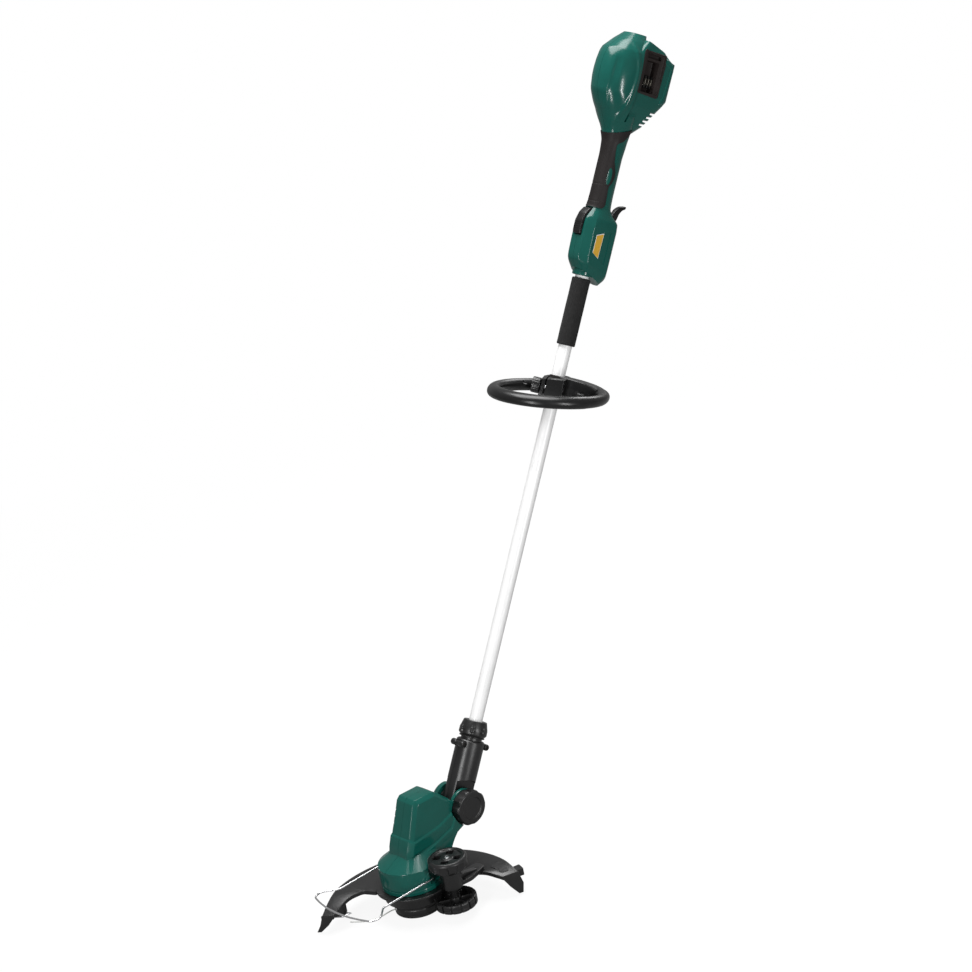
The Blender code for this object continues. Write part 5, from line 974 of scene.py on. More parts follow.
# outline, lowest and highest level above the recess's floor, and look
labelLayers = {
    "labelEdge": ([(-0.0108, 0.9360), (0.0043, 0.9412), (0.0030, 0.8995), (-0.0112, 0.9062)], -0.0001, 0.00022, "paper"),
    "labelFace": ([(-0.0100, 0.9350), (0.0036, 0.9398), (0.0023, 0.9008), (-0.0104, 0.9070)], 0, 0.00036, "yellow"),
}


def lever(outline, half, soften, edge):
    shape = plate(outline, -half, half, soften=soften)
    bevelEdges(shape, hardEdges(shape, 60), edge, 4)
    return shape


def buildTrigger():
    y, z, hub = triggerPlace["y"], triggerPlace["z"], trigger["hub"]
    hubArc = [(hub * cos(radians(a)), hub * sin(radians(a))) for a in range(150, 331, 12)]
    shape = lever([(y + a, z + b) for a, b in hubArc + triggerBlade], trigger["half"], 0.0035, trigger["edge"])
    pinHole = bar(trigger["pin"], (-0.02, y, z), (0.02, y, z), 32)
    piece("trigger", shape, shaftFrame, "satin", "trigger", "trigger", cut=[pinHole])


def buildLockButton():
    cuts = [plate([(-0.0400, z), (-0.0356, z + 0.0006), (-0.0356, z + 0.0012), (-0.0400, z + 0.0018)], -0.0062, 0.0062)
            for z in lockButton["ribs"]]
    cuts.append(bar(lockButton["bore"], (0, -0.0195, 0.9535), (0, -0.0290, 0.9535), 32))
    shape = lever(lockOutline, lockButton["half"], 0.0030, lockButton["edge"])
    piece("lockOffButton", shape, shaftFrame, "satin", "lock_off", "lock_off_button", cut=cuts, edges=(0.0003, 2, 40))


def buildLabel():
    # bare plates: a white edge under a yellow face
    floor = label["face"] - label["depth"]
    for side, tag in ((-1, "Right"), (1, "Left")):
        for name, (corners, low, high, look) in labelLayers.items():
            shape = plate(corners, *sideSpan(side, floor + low, floor + high), soften=0.0010)
            piece(name + tag, shape, shaftFrame, look, "shaft")


buildTrigger()
buildLockButton()
buildLabel()
print("trigger, button and label made")


# Loop handle with its clamp, bush, bolt and knob
loop = {"radius": 0.0858, "reach": 0.0895, "tube": 0.010, "above": 0.0145, "below": 0.016, "left": 0.0215,
        "right": 0.016, "front": 0.0365, "clamp": 0.020, "edge": 0.0013, "slit": 0.0024, "slitAt": -0.0123,
        "boltY": -0.0295, "boltZ": -0.006, "skin": 0.0003}
loopGrip = {"start": 130.0, "end": 335.0, "rise": 0.00035, "ramp": 0.8}
loopWeb = {"start": 4, "turn": 60, "steps": 32, "end": 0.0080, "past": 0.0020}
loopBolt = {"start": -0.0320, "end": 0.0125, "radius": 0.003, "headRadius": 0.0054}
loopKnob = {"radius": 0.013, "length": 0.013, "teeth": 12, "tooth": 0.0020}


def loopRing():
    rows, columns = 240, 48

    def spot(column, row):
        angle, roll = 2 * pi * row / rows, 2 * pi * column / columns
        degreesRound, ramp = 360 * row / rows, loopGrip["ramp"]
        rise = loopGrip["rise"] * smoothStep(loopGrip["start"], loopGrip["start"] + ramp, degreesRound)
        rise *= 1 - smoothStep(loopGrip["end"] - ramp, loopGrip["end"], degreesRound)
        thick = loop["tube"] - loop["skin"] + rise
        reach = loop["radius"] + thick * cos(roll)
        return Vector((reach * sin(angle), reach * cos(angle) - loop["reach"], thick * sin(roll)))

    return surface(spot, columns, rows + 1, capped=False)


def loopClamp():
    right, left, front, radius = loop["right"], loop["left"], loop["front"], loop["clamp"]
    outline = [(right, 0.002), (right, -front), (-left, -front), (-left, 0.002)]
    for i in range(24):
        angle = pi - pi * (i + 0.5) / 24
        outline.append((radius * cos(angle), radius * sin(angle)))
    return plate(outline, -loop["below"], loop["above"], axis=2, soften=0.003, edge=loop["edge"])


def clampWeb():
    # fills the corner between the clamp and the ring, thinner towards its end
    rings = []
    for i in range(loopWeb["steps"] + 1):
        fade = i / loopWeb["steps"]
        angle = radians(loopWeb["start"] + loopWeb["turn"] * fade)
        low = -loop["below"] * (1 - fade) - loopWeb["end"] * fade
        high = (loop["above"] + loopWeb["past"]) * (1 - fade) + loopWeb["end"] * fade
        section = softOutline([(-0.010, low), (0.007, low), (0.007, high), (-0.010, high)], 0.0022, 4)
        rings.append([Vector(((loop["radius"] + a) * sin(angle), (loop["radius"] + a) * cos(angle) - loop["reach"], h))
                      for a, h in section])
    return throughRings(rings)


def buildLoop():
    y, z, left, right = loop["boltY"], loop["boltZ"], loop["left"], loop["right"]
    length, radius = loopKnob["length"], loopKnob["radius"]

    def across(size, start, end, steps=32, edge=0.0):
        return bar(size, (start, y, z), (end, y, z), steps, edge=edge)

    cuts = [
        bar(0.0136, (0, 0, -0.05), (0, 0, 0.05), 64),
        block((loop["slitAt"] - loop["slit"], -0.06, -0.05), (loop["slitAt"], 0, 0.05)),
        across(0.0033, -0.05, 0.05),
        across(0.0060, right - 0.0045, 0.05),
        across(radius + 0.0006, -left - length - 0.002, -left + 0.00002, 64),
    ]
    piece("loopHandle", moved(loopRing(), turn=tiltShear), loopFrame, "satin", "loop_handle", "loop_handle",
          add=[moved(loopClamp(), turn=tiltShear), moved(clampWeb(), turn=tiltShear)], cut=cuts)
    bush = turned([(0.0133, 0.0156), (0.0133, -0.0171), (0.0113, -0.0171), (0.0113, 0.0156)], 64, 0.0005)
    piece("loopBush", bush, loopFrame, "rubber", "loop_bush", "loop_bush")
    piece("loopBolt", across(loopBolt["radius"], loopBolt["start"], loopBolt["end"]), loopFrame, "steel",
          "loop_handle", "loop_bolt", add=[across(loopBolt["headRadius"], 0.0118, 0.0155, 6, 0.0004)],
          cut=[across(0.0026, 0.0135, 0.017, 6)])
    profile = [(0, length - 0.0008), (radius - 0.0045, length - 0.0008), (radius - 0.0040, length),
               (radius - 0.0008, length), (radius, length - 0.0012), (radius, 0.001), (radius - 0.001, 0),
               (0.0033, 0), (0.0033, length - 0.002), (0, length - 0.002)]
    turn = Matrix.Translation((-left - room, y, z)) @ againstX
    at = radius + 0.0008
    teeth = around(loopKnob["teeth"], lambda: bar(loopKnob["tooth"], (at, 0, -0.01), (at, 0, 0.03), 24))
    piece("loopClampKnob", turned(profile, 96, 0.0005, closed=False), loopFrame @ turn, "black",
          "loop_knob", "loop_clamp_knob", cut=[teeth], edges=(0.0003, 2, 35))


buildLoop()
print("loop handle made")


# Pivot sleeve, its screws, the collet and the clamp nut
sleeve = {"radius": 0.023, "top": 0.1035, "neck": 0.0172, "neckTop": 0.113, "tongue": 0.0167, "arch": 0.041,
          "web": 0.0120, "boss": 0.0052, "bossStation": 0.0955, "bossReach": 0.0125, "bossOut": 0.002}
nut = {"start": 0.1078, "length": 0.0272, "radius": 0.023, "flutes": 8, "fluteRadius": 0.006, "reach": 0.0034}


def buildSleeveHalf(side, tag):
    r, top, neck, neckTop = sleeve["radius"], sleeve["top"], sleeve["neck"], sleeve["neckTop"]
    station, reach, boss = sleeve["bossStation"], sleeve["bossReach"], sleeve["boss"]
    profile = [(0, -0.001), (r, -0.001), (r, top - 0.0022), (r - 0.0022, top), (neck, top), (neck, neckTop), (0, neckTop)]
    half = toObject("pivotSleeve" + tag, turned(profile, 96, 0.0006, closed=False), shaftFrame, "black")
    adds = [bar(r, (-sleeve["tongue"], 0, 0), (sleeve["tongue"], 0, 0), 96, edge=0.0010)]
    cuts = [
        bar(sleeve["arch"], (side * sleeve["tongue"], 0, 0), (side * 0.04, 0, 0), 128),
        bar(tube["radius"] + 0.0005, (0, 0, tube["start"] - room), (0, 0, 0.13), 64),
        bar(0.0043, (-0.04, 0, 0), (0.04, 0, 0), 32),
        bar(0.0046, (0, 0, 0.012), (0, 0, 0.055), 32),
    ]
    for front in (-1, 1):
        y = front * (r + sleeve["bossOut"])
        adds.append(bar(boss - 0.0012, (-reach, y, station), (reach, y, station), 48))
        for lug in (-1, 1):
            adds.append(bar(boss, (lug * 0.0035, y, station), (lug * (reach + 0.0018), y, station), 48, edge=0.0014))
        cuts.append(bar(0.0021, (-0.02, y, station), (0.02, y, station), 24))
        cuts.append(bar(0.0035, (0.0127, y, station), (0.02, y, station), 40))
    carve(half, [bar(sleeve["arch"], (side * sleeve["web"], 0, 0), (side * 0.04, 0, 0), 128)], shaftFrame)
    fuse(half, adds, shaftFrame)
    carve(half, cuts, shaftFrame)
    keepWithin(half, halfSpace(side, -0.1, 0.3, 0.1), shaftFrame)
    dress(half, "pivot_sleeve", "pivot_sleeve_" + tag.lower())


def buildSleeveScrew(front, tag):
    y, z = front * (sleeve["radius"] + sleeve["bossOut"]), sleeve["bossStation"]
    long, thin = 0.0021, 0.00045
    cross = [block((0.0133, y - a, z - b), (0.016, y + a, z + b)) for a, b in ((long, thin), (thin, long))]
    piece("sleeveScrew" + tag, bar(0.0018, (-0.0125, y, z), (0.0130, y, z), 24), shaftFrame, "oxide",
          "pivot_sleeve", "sleeve_screw_" + tag.lower(),
          add=[bar(0.0032, (0.0128, y, z), (0.0140, y, z), 40, edge=0.0004)], cut=cross)


def buildNut():
    r, start, end = nut["radius"], nut["start"], nut["start"] + nut["length"]
    bore, flute, out = tube["radius"] + 0.0005, nut["fluteRadius"], nut["radius"] + nut["reach"]
    profile = [(r - 0.0042, end), (r - 0.0008, end - 0.011), (r, end - 0.015), (r, start + 0.0060),
               (r - 0.0022, start + 0.0032), (r - 0.0034, start + 0.0026), (r - 0.0034, start + 0.0018),
               (r - 0.0022, start + 0.0014), (r - 0.0022, start), (0.0177, start), (0.0177, 0.1203),
               (0.0140, 0.1316), (bore, 0.1316), (bore, end)]

    def cutter():
        # a round flute that ends in a ball
        ball = bmesh.new()
        bmesh.ops.create_uvsphere(ball, u_segments=48, v_segments=24, radius=flute)
        return append(bar(flute, (out, 0, start + 0.0125), (out, 0, end + 0.01), 48), moved(ball, (out, 0, start + 0.0125)))

    piece("clampNut", turned(profile, 128, 0.0006), shaftFrame, "black", "clamp_nut", "clamp_nut",
          cut=[around(nut["flutes"], cutter)], edges=(0.0004, 2, 35))
    collet = turned([(0.0132, 0.1313), (0.0167, 0.1193), (0.0167, 0.1133), (0.0115, 0.1133), (0.0115, 0.1313)], 64, 0.0004)
    piece("clampCollet", collet, shaftFrame, "black", "pivot_sleeve", "clamp_collet")


buildSleeveHalf(1, "Left")
buildSleeveHalf(-1, "Right")
buildSleeveScrew(-1, "Front")
buildSleeveScrew(1, "Rear")
buildNut()
print("sleeve and nut made")


# Pivot bolt and its knob
pivotKnob = {"start": 0.0230, "radius": 0.0290, "length": 0.0180, "lobes": 10, "fluteRadius": 0.0140,
             "fluteReach": 0.0119}


def buildPivot():
    radius, length = pivotKnob["radius"], pivotKnob["length"]
    profile = [(0, length - 0.0016), (radius - 0.0110, length - 0.0016), (radius - 0.0100, length),
               (radius - 0.0028, length), (radius, length - 0.0030), (radius, 0.0022), (radius - 0.0022, 0),
               (0.0043, 0), (0.0043, length - 0.0035), (0, length - 0.0035)]
    at = radius + pivotKnob["fluteReach"]
    flutes = around(pivotKnob["lobes"], lambda: bar(pivotKnob["fluteRadius"], (at, 0, -0.01), (at, 0, length + 0.01), 64),
                    pi / 10)
    turn = Matrix.Translation((pivotKnob["start"], 0, 0)) @ alongX
    piece("pivotKnob", turned(profile, 144, 0.0009, closed=False), shaftFrame @ turn, "black",
          "pivot_knob", "pivot_knob", cut=[flutes], edges=(0.0006, 3, 35))
    piece("pivotBolt", bar(0.004, (-0.030, 0, 0), (0.037, 0, 0), 40), shaftFrame, "steel", "motor_head", "pivot_bolt",
          add=[bar(0.008, (-0.0323, 0, 0), (-0.0273, 0, 0), 6, edge=0.0005)])


buildPivot()
print("pivot made")


# Motor housing, drawn once as the left half and mirrored for the right one
wheelKnob = {"radius": 0.0320, "bottom": 0.0800, "height": 0.0240, "flutes": 7, "fluteRadius": 0.0085, "pockets": 4,
             "turn": 0.6}
head = {"back": 0.1135, "height": 0.1375, "bodyHalf": 0.032, "towerHalf": 0.0275, "ear": 0.0292, "earOuter": 0.027,
        "knobFace": 0.0225, "earInner": 0.0172, "boss": 0.012, "bossEnd": 0.0525, "bailHeight": 0.070,
        "motorBack": 0.036}
vents = {"count": 3, "top": 0.1710, "pitch": 0.0100, "width": 0.0042, "depth": 0.0095, "length": 0.0180}
skirtProfile = [(0, 0.0900), (0.0470, 0.0900), (0.0506, 0.0880), (0.0516, 0.0760), (0.0516, 0.0640),
                (0.0512, 0.0572), (0.0505, 0.0566), (0.0505, 0.0556), (0.0510, 0.0550), (0.0510, 0.0488), (0, 0.0488)]
bodyOutline = [(-0.030, 0.0488), (0.048, 0.0488), (0.060, 0.062), (0.071, 0.086), (0.078, 0.095), (0.086, 0.103),
               (0.099, 0.108), (0.130, 0.118), (0.118, 0.160), (0.095, 0.158), (0.070, 0.1225), (0.034, 0.1130),
               (0.003, 0.1060), (-0.012, 0.1050), (-0.0165, 0.1030), (-0.030, 0.0890)]
shoulder = {"low": 0.0885, "high": 0.1050, "radius": 0.0506, "corner": 48.6, "facet": 65.5, "back": 142.0}
ledgeOutline = [(-0.0195, 0.1000), (-0.0165, 0.1140), (-0.0095, 0.1310), (-0.0060, 0.1335), (0.0300, 0.1365),
                (0.0540, 0.1395), (0.0850, 0.1490), (0.0920, 0.1200), (0.0400, 0.1030)]
towerOutline = [(-0.0150, 0.112), (-0.0060, 0.135), (0.0060, 0.1630), (0.0150, 0.1850), (0.0215, 0.1905), (0.0580, 0.1890),
                (0.0680, 0.1810), (0.0850, 0.1640), (0.1000, 0.1450), (0.0600, 0.128), (0.0500, 0.110)]


def ventFront(height):
    edge = towerOutline[:5]
    for (y, z), (nextY, nextZ) in zip(edge, edge[1:]):
        if z <= height <= nextZ:
            return y + (nextY - y) * (height - z) / (nextZ - z)


def shoulderLoft():
    # flat shoulders from the round skirt up to the tower's foot, with a narrow facet at the corner
    def arc(start, end, steps):
        angles = [radians(start + (end - start) * i / steps) for i in range(steps)]
        return [(shoulder["radius"] * sin(a), -shoulder["radius"] * cos(a)) for a in angles]

    def line(start, end, steps):
        return [tuple(a + (b - a) * i / steps for a, b in zip(start, end)) for i in range(steps)]

    below = arc(-2.3, shoulder["corner"], 14) + arc(shoulder["corner"], shoulder["facet"], 6)
    below += arc(shoulder["facet"], shoulder["back"], 14) + [(0.0312, 0.0400), (-0.002, 0.0400)]
    above = line((-0.002, -0.0172), (0.0215, -0.0150), 14) + line((0.0215, -0.0150), (0.0285, -0.0020), 6)
    above += line((0.0285, -0.0020), (0.0300, 0.0390), 14) + [(0.0300, 0.0400), (-0.002, 0.0400)]
    under = [(x * 0.9, y * 0.9) for x, y in below]
    levels = ((under, shoulder["low"] - 0.006), (below, shoulder["low"]), (above, shoulder["high"]))
    return throughRings([[Vector((x, y, z)) for x, y in ring] for ring, z in levels])


def mirrorMesh(obj):
    bm = bmesh.new()
    bm.from_mesh(obj.data)
    bmesh.ops.transform(bm, matrix=Matrix.Scale(-1, 4, (1, 0, 0)), verts=bm.verts)
    bmesh.ops.reverse_faces(bm, faces=bm.faces)
    bm.to_mesh(obj.data)
    bm.free()


def housingCuts(earOuter):
    # room for the sleeve's tongue and body, the pivot knob, the wheel knob and the works inside
    y, z, inner, motorY = head["back"], head["height"], head["earInner"], head["motorBack"]
    fan = [(y - 0.0245, z), (y + 0.0055, z - 0.0245), (y + 0.05, z - 0.0138), (0.18, 0.25), (0.089, 0.25)]
    arc = []
    for a in range(-20, 91, 5):
        reach = 0.0276 + 0.0018 * smoothStep(68, 90, a)
        arc.append((y + reach * cos(radians(a)), z + reach * sin(radians(a))))
    cuts = [
        bar(0.0245, (-inner, y, z), (inner, y, z), 128),
        plate(fan, -inner, inner),
        plate(arc + [(0.0895, 0.25), (0.20, 0.25), (0.20, 0.12)], head["towerHalf"] * 0.5, 0.06),
        bar(0.0312, (earOuter, y, z), (0.06, y, z), 128),
        bar(wheelKnob["radius"] + 0.0014, (*place["wheel"], 0.060), (*place["wheel"], 0.13), 128),
        bar(0.0043, (-0.05, y, z), (0.05, y, z), 40),
    ]
    # upright bores: radius, place behind the spindle, bottom, top and steps
    bores = (
        (0.0213, motorY, 0.0677, 0.1383, 64), (0.0300, 0, 0.0570, 0.0640, 64), (0.0120, motorY, 0.0570, 0.0640, 48),
        (0.0050, motorY, 0.0570, 0.0730, 32), (0.0055, 0, 0.04, 0.0740, 32), (0.0103, 0, 0.04, 0.0558, 48),
        (0.0103, 0, 0.0657, 0.0723, 48),
    )
    cuts += [bar(radius, (0, back, low), (0, back, high), steps) for radius, back, low, high, steps in bores]
    return cuts + [bar(0.0018, (0.0425, 0, head["bailHeight"]), (0.07, 0, head["bailHeight"]), 24)]


def ventCuts():
    cuts = []
    for i in range(vents["count"]):
        top = vents["top"] - i * vents["pitch"]
        front = ventFront(top)
        low = (head["towerHalf"] - vents["depth"], front - 0.010, top - vents["width"])
        cuts.append(block(low, (head["towerHalf"] + 0.01, front + vents["length"], top), 0.0006))
    return cuts


def buildHousing(mirrored, tag):
    y, z, bail = head["back"], head["height"], head["bailHeight"]
    earOuter = head["earOuter"] if mirrored else head["knobFace"]
    housing = toObject("motorHousing" + tag, turned(skirtProfile, 144, 0.0008, closed=False), headFrame, "green")
    tower = plate(towerOutline, -0.004, head["towerHalf"], chamfer=0.0065, edge=0.0009, bothEnds=False)
    for vert in tower.verts:
        vert.co.x *= 1 - 0.09 * smoothStep(0.118, 0.195, vert.co.z)
    fuse(housing, [
        shoulderLoft(),
        plate(bodyOutline, -0.002, head["bodyHalf"], chamfer=0.0060, edge=0.0008, bothEnds=False),
        plate(ledgeOutline, -0.003, head["bodyHalf"] - 0.0020, chamfer=0.0080, edge=0.0008, bothEnds=False),
        tower,
        bar(head["ear"], (head["earInner"] - 0.004, y, z), (earOuter, y, z), 128, edge=0.0010),
        bar(head["boss"], (0.02, 0, bail), (head["bossEnd"], 0, bail), 64, edge=0.0008),
    ])
    carve(housing, housingCuts(earOuter) + (ventCuts() if mirrored else []))
    keepWithin(housing, block((seam, -0.08, 0.0488), (0.08, 0.17, 0.22)))
    if mirrored:
        mirrorMesh(housing)
    dress(housing, "motor_head", "motor_housing_" + tag.lower())


buildHousing(False, "Left")
buildHousing(True, "Right")
print("motor housing made")


# Guard: ring, crescent plate with lip and skirt, end feet, wheel stop, raised pad and line cutter
guard = {"top": 0.048, "plate": 0.003, "radius": 0.1625, "offset": 0.0695, "lip": 0.007, "skirt": 0.015, "drop": 0.018,
         "foot": 0.002, "left": -67.3, "right": 79.7, "droopLeft": 47.3, "droopRight": 66.7, "step": 0.7}
wingAngles = (-67.3, -61.3, -55.3, -49.3, -45.3, -42.8, -27.3, -17.3, 2.7, 22.7, 32.7, 48.7, 52.7, 58.7, 68.7, 75.7, 79.7)
wingWidths = (0.0125, 0.0235, 0.0310, 0.0415, 0.0485, 0.0705, 0.0705, 0.0585, 0.0460, 0.0585, 0.0705, 0.0705, 0.0650,
              0.0580, 0.0435, 0.0325, 0.0235)


def guardHeight(angle):
    past = max(0.0, -angle - guard["droopLeft"], angle - guard["droopRight"]) / 20
    return guard["top"] - guard["drop"] * past**2


def guardReach(angle):
    past = max(0.0, -angle - guard["droopLeft"] - 5, angle - guard["droopRight"] - 2) / 15
    return guard["radius"] + 0.006 * past**2


def guardPoint(angle, reach, height):
    return Vector((reach * sin(radians(angle)), reach * cos(radians(angle)) - guard["offset"], height))


def belowGuard(rise):
    return lambda angle: guardHeight(angle) + rise


def guardSlab(corners, heights, soften):
    # corners are (angle, inset from the outer arc); heights follow the droop where they are functions
    rings = []
    for height in heights:
        ring = [guardPoint(a, guard["radius"] - inset, height(a) if callable(height) else height) for a, inset in corners]
        rings.append(softOutline(ring, soften, 4))
    return throughRings(rings)


def guardPlate():
    steps = round((guard["right"] - guard["left"]) / guard["step"])
    wall, lip, skirt = guard["plate"], guard["lip"], guard["skirt"]
    rings = []
    for i in range(steps + 1):
        angle = guard["left"] + (guard["right"] - guard["left"]) * i / steps
        inner = guard["radius"] - blendValue(wingAngles, wingWidths, angle)
        top, outer = guardHeight(angle), guardReach(angle)
        section = [(inner, top - lip), (inner, top), (outer, top), (outer + 0.002, top - skirt),
                   (outer - 0.0005, top - skirt), (outer - wall, top - wall), (inner + wall - 0.0005, top - wall),
                   (inner + wall - 0.0005, top - lip)]
        rings.append([guardPoint(angle, reach, height) for reach, height in softOutline(section, 0.0011, 3)])
    return throughRings(rings)


def guardFoot(end, side, width, past):
    # closes one end of the crescent, from under the plate down to its foot
    high, outer = guardHeight(end), guardReach(end)
    inner, foot, back, front = guard["radius"] - width, guard["radius"] + past, end - side * 1.0, end + side * 0.6
    upper = [(back, inner), (back, outer + 0.0015), (front, outer + 0.0015), (front, inner)]
    middle = [(back, inner + 0.010), (back, outer + 0.006), (front, outer + 0.006), (front, inner + 0.010)]
    lower = [(back + side * 0.3, foot), (back + side * 0.3, foot + 0.0075), (front, foot + 0.0075), (front, foot)]
    levels = [(lower, guard["foot"]), (middle, high * 0.45), (upper, high - 0.0045), (upper, high - 0.0006)]
    return throughRings([softOutline([guardPoint(a, r, z) for a, r in ring], 0.0009, 3) for ring, z in levels])


def guardPads(end):
    # the wheel's stop, the raised pad in two layers and the cutter's mount
    stop = [(end - 6.5, 0.0030), (end - 6.5, -0.0145), (end - 0.8, -0.0145), (end - 0.8, 0.0030)]
    pad = [(end - 13.5, 0.0290), (end - 13.5, 0.0085), (end - 8.0, 0.0080), (end - 2.5, 0.0075), (end - 2.5, 0.0215),
           (end - 8.0, 0.0260)]
    inPad = [(a + (0.25 if a < end - 10 else -0.25 if a > end - 5 else 0), i + (0.0006 if i < 0.01 else -0.0006))
             for a, i in pad]
    mount = [(-57.0 + 0.1, 0.0275), (-57.0 + 0.1, 0.0155), (-63.9 - 0.1, 0.0085), (-63.9 - 0.1, 0.0190)]
    return [
        guardSlab(stop, [0.0290, 0.0405], 0.002),
        guardSlab(pad, [belowGuard(-0.0015), belowGuard(0.0004)], 0.003),
        guardSlab(inPad, [belowGuard(-0.0010), belowGuard(0.0010)], 0.003),
        guardSlab(mount, [0.0225, belowGuard(-0.0015)], 0.001),
    ]


def buildGuard():
    cover = toObject("guard", guardPlate(), guardFrame, "black")
    top, under = guard["top"], guard["top"] - guard["plate"] - 0.0005
    ring = turned([(0.0615, top + 0.0005), (0.062, top), (0.062, under), (0.053, under), (0.050, 0.026), (0.042, 0.026),
                   (0.042, top + 0.0005)], 144, 0.0008)
    feet = [guardFoot(guard["left"], -1, wingWidths[0], 0.0115), guardFoot(guard["right"], 1, wingWidths[-1], -0.0015)]
    fuse(cover, [ring, *feet, *guardPads(guard["right"])], guardFrame)
    carve(cover, [bar(0.046, (0, 0, 0.02), (0, 0, 0.06), 144)], guardFrame)
    carve(cover, [bar(0.0355, (*place["wheel"], 0.010), (*place["wheel"], 0.0315), 96)])
    dress(cover, "motor_head", "guard")


def buildCutter():
    blade = [(-57.8, 0.0355), (-57.8, 0.0165), (-63.8, 0.0095), (-63.8, 0.0255)]
    edge = [(-57.8, 0.0330), (-57.8, 0.0165), (-63.8, 0.0095), (-63.8, 0.0230)]
    rings = [[guardPoint(a, guard["radius"] - i, z) for a, i in outline] for outline, z in ((blade, 0.0207), (edge, 0.0222))]
    holes = [guardPoint(a, guard["radius"] - inset, 0) for a, inset in ((-59.3, 0.0200), (-62.3, 0.0165))]
    piece("lineCutter", throughRings(rings), guardFrame, "steel", "motor_head", "line_cutter",
          cut=[bar(0.0012, (p.x, p.y, 0.0), (p.x, p.y, 0.04), 24) for p in holes], edges=(0.00015, 2, 35))


buildGuard()
buildCutter()
print("guard made")


# Wire plant guard
wire = {"height": 0.070, "radius": 0.0015, "bend": 0.006}
wireHalf = [(0.0428, 0), (0.053, 0), (0.0548, -0.0007), (0.0555, -0.0025), (0.0555, -0.103), (0.0575, -0.107),
            (0.0725, -0.123), (0.0755, -0.129), (0.0745, -0.137), (0.0695, -0.144), (0.0515, -0.1495), (0.0275, -0.1545)]


def buildWireGuard():
    path = wireHalf + [(0, -0.156)] + [(-x, y) for x, y in reversed(wireHalf)]
    path = softOutline([Vector((x, y, wire["height"])) for x, y in path], wire["bend"], 5, closed=False)
    piece("wireGuard", swept(path, wire["radius"], 24), headFrame, "wire", "wire_guard", "wire_guard", angle=60)


buildWireGuard()
print("wire guard made")


# Spool head: housing, cap, bump knob, eyelet and the cutting line
spool = {"radius": 0.0384, "top": 0.024, "wall": 0.003, "cap": 0.0055, "knob": 0.017, "eyelet": 0.0032, "angle": -162.0,
         "height": 0.0115, "line": 0.0010, "winding": 0.029, "ribs": 24}
lineRoute = [(-0.0165, -0.0680, 0.0108), (-0.0280, -0.0860, 0.0096), (-0.0520, -0.1010, 0.0082)]
outward = Vector((sin(radians(spool["angle"])), cos(radians(spool["angle"])), 0))


def lineSpot(reach):
    return outward * reach + Vector((0, 0, spool["height"]))


def buildSpool():
    r, top, inner, cap, hub = spool["radius"], spool["top"], spool["radius"] - spool["wall"], spool["cap"], spool["knob"]
    profile = [(0, top), (r - 0.0015, top), (r, top - 0.0015), (r, top - 0.006), (r - 0.0010, top - 0.007),
               (r - 0.0010, top - 0.009), (r, top - 0.010), (r, cap + room), (inner, cap + room),
               (inner, top - spool["wall"]), (0, top - spool["wall"])]
    cuts = [
        bar(spool["eyelet"] + room, lineSpot(inner - 0.005), lineSpot(r + 0.005), 40),
        around(spool["ribs"], lambda: block((r - 0.0007, -0.0008, 0.0162), (r + 0.002, 0.0008, 0.0228), 0.0003, 2)),
    ]
    piece("spoolHousing", turned(profile, 144, 0.0006, closed=False), headFrame, "black", "spool", "spool_housing", cut=cuts)
    ringCap = turned([(r, 0.0015), (r, cap), (hub + 0.0005, cap), (hub + 0.0005, 0.0015)], 144, 0.0012)
    piece("spoolCap", ringCap, headFrame, "black", "spool", "spool_cap")
    knobProfile = [(0, 0.0095), (0.0065, 0.0095), (0.0065, 0.0025), (hub, 0.0025), (hub, 0.002), (hub - 0.002, 0), (0, 0)]
    piece("bumpKnob", turned(knobProfile, 96, 0.0004, closed=False), headFrame, "satin", "bump_knob", "bump_knob")
    piece("lineEyelet", bar(spool["eyelet"], lineSpot(inner - room), lineSpot(r + 0.0012), 48, edge=0.0005), headFrame,
          "steel", "spool", "line_eyelet", cut=[bar(0.0019, lineSpot(inner - 0.005), lineSpot(r + 0.005), 32)])


def buildLine():
    r, winding = spool["radius"], spool["winding"]
    route = [lineSpot(winding + 0.0015), lineSpot(r - 0.001), lineSpot(r + 0.010)]
    route = curvePoints(route + [Vector(p) for p in lineRoute], 30)
    line = piece("cuttingLine", swept(curvePoints(route, 90), spool["line"], 16), headFrame, "line",
                 "spool", "cutting_line", angle=60)
    length = sum((b - a).length for a, b in zip(route, route[1:]))
    [tuple(p) for p in route]


buildSpool()
buildLine()
print("spool and line made")


# Edge wheel, its bracket and axle, and the big knob above them
wheel = {"radius": 0.0345, "bottom": 0.016, "height": 0.015, "hub": 0.009, "rim": 0.006, "spokes": 6, "gaps": 14,
         "axle": 0.0035, "room": 0.0005}
bracket = {"post": 0.0174, "bottom": 0.049, "top": 0.0795, "spigot": 0.006}
wheelAt = Matrix.Translation((*place["wheel"], 0))


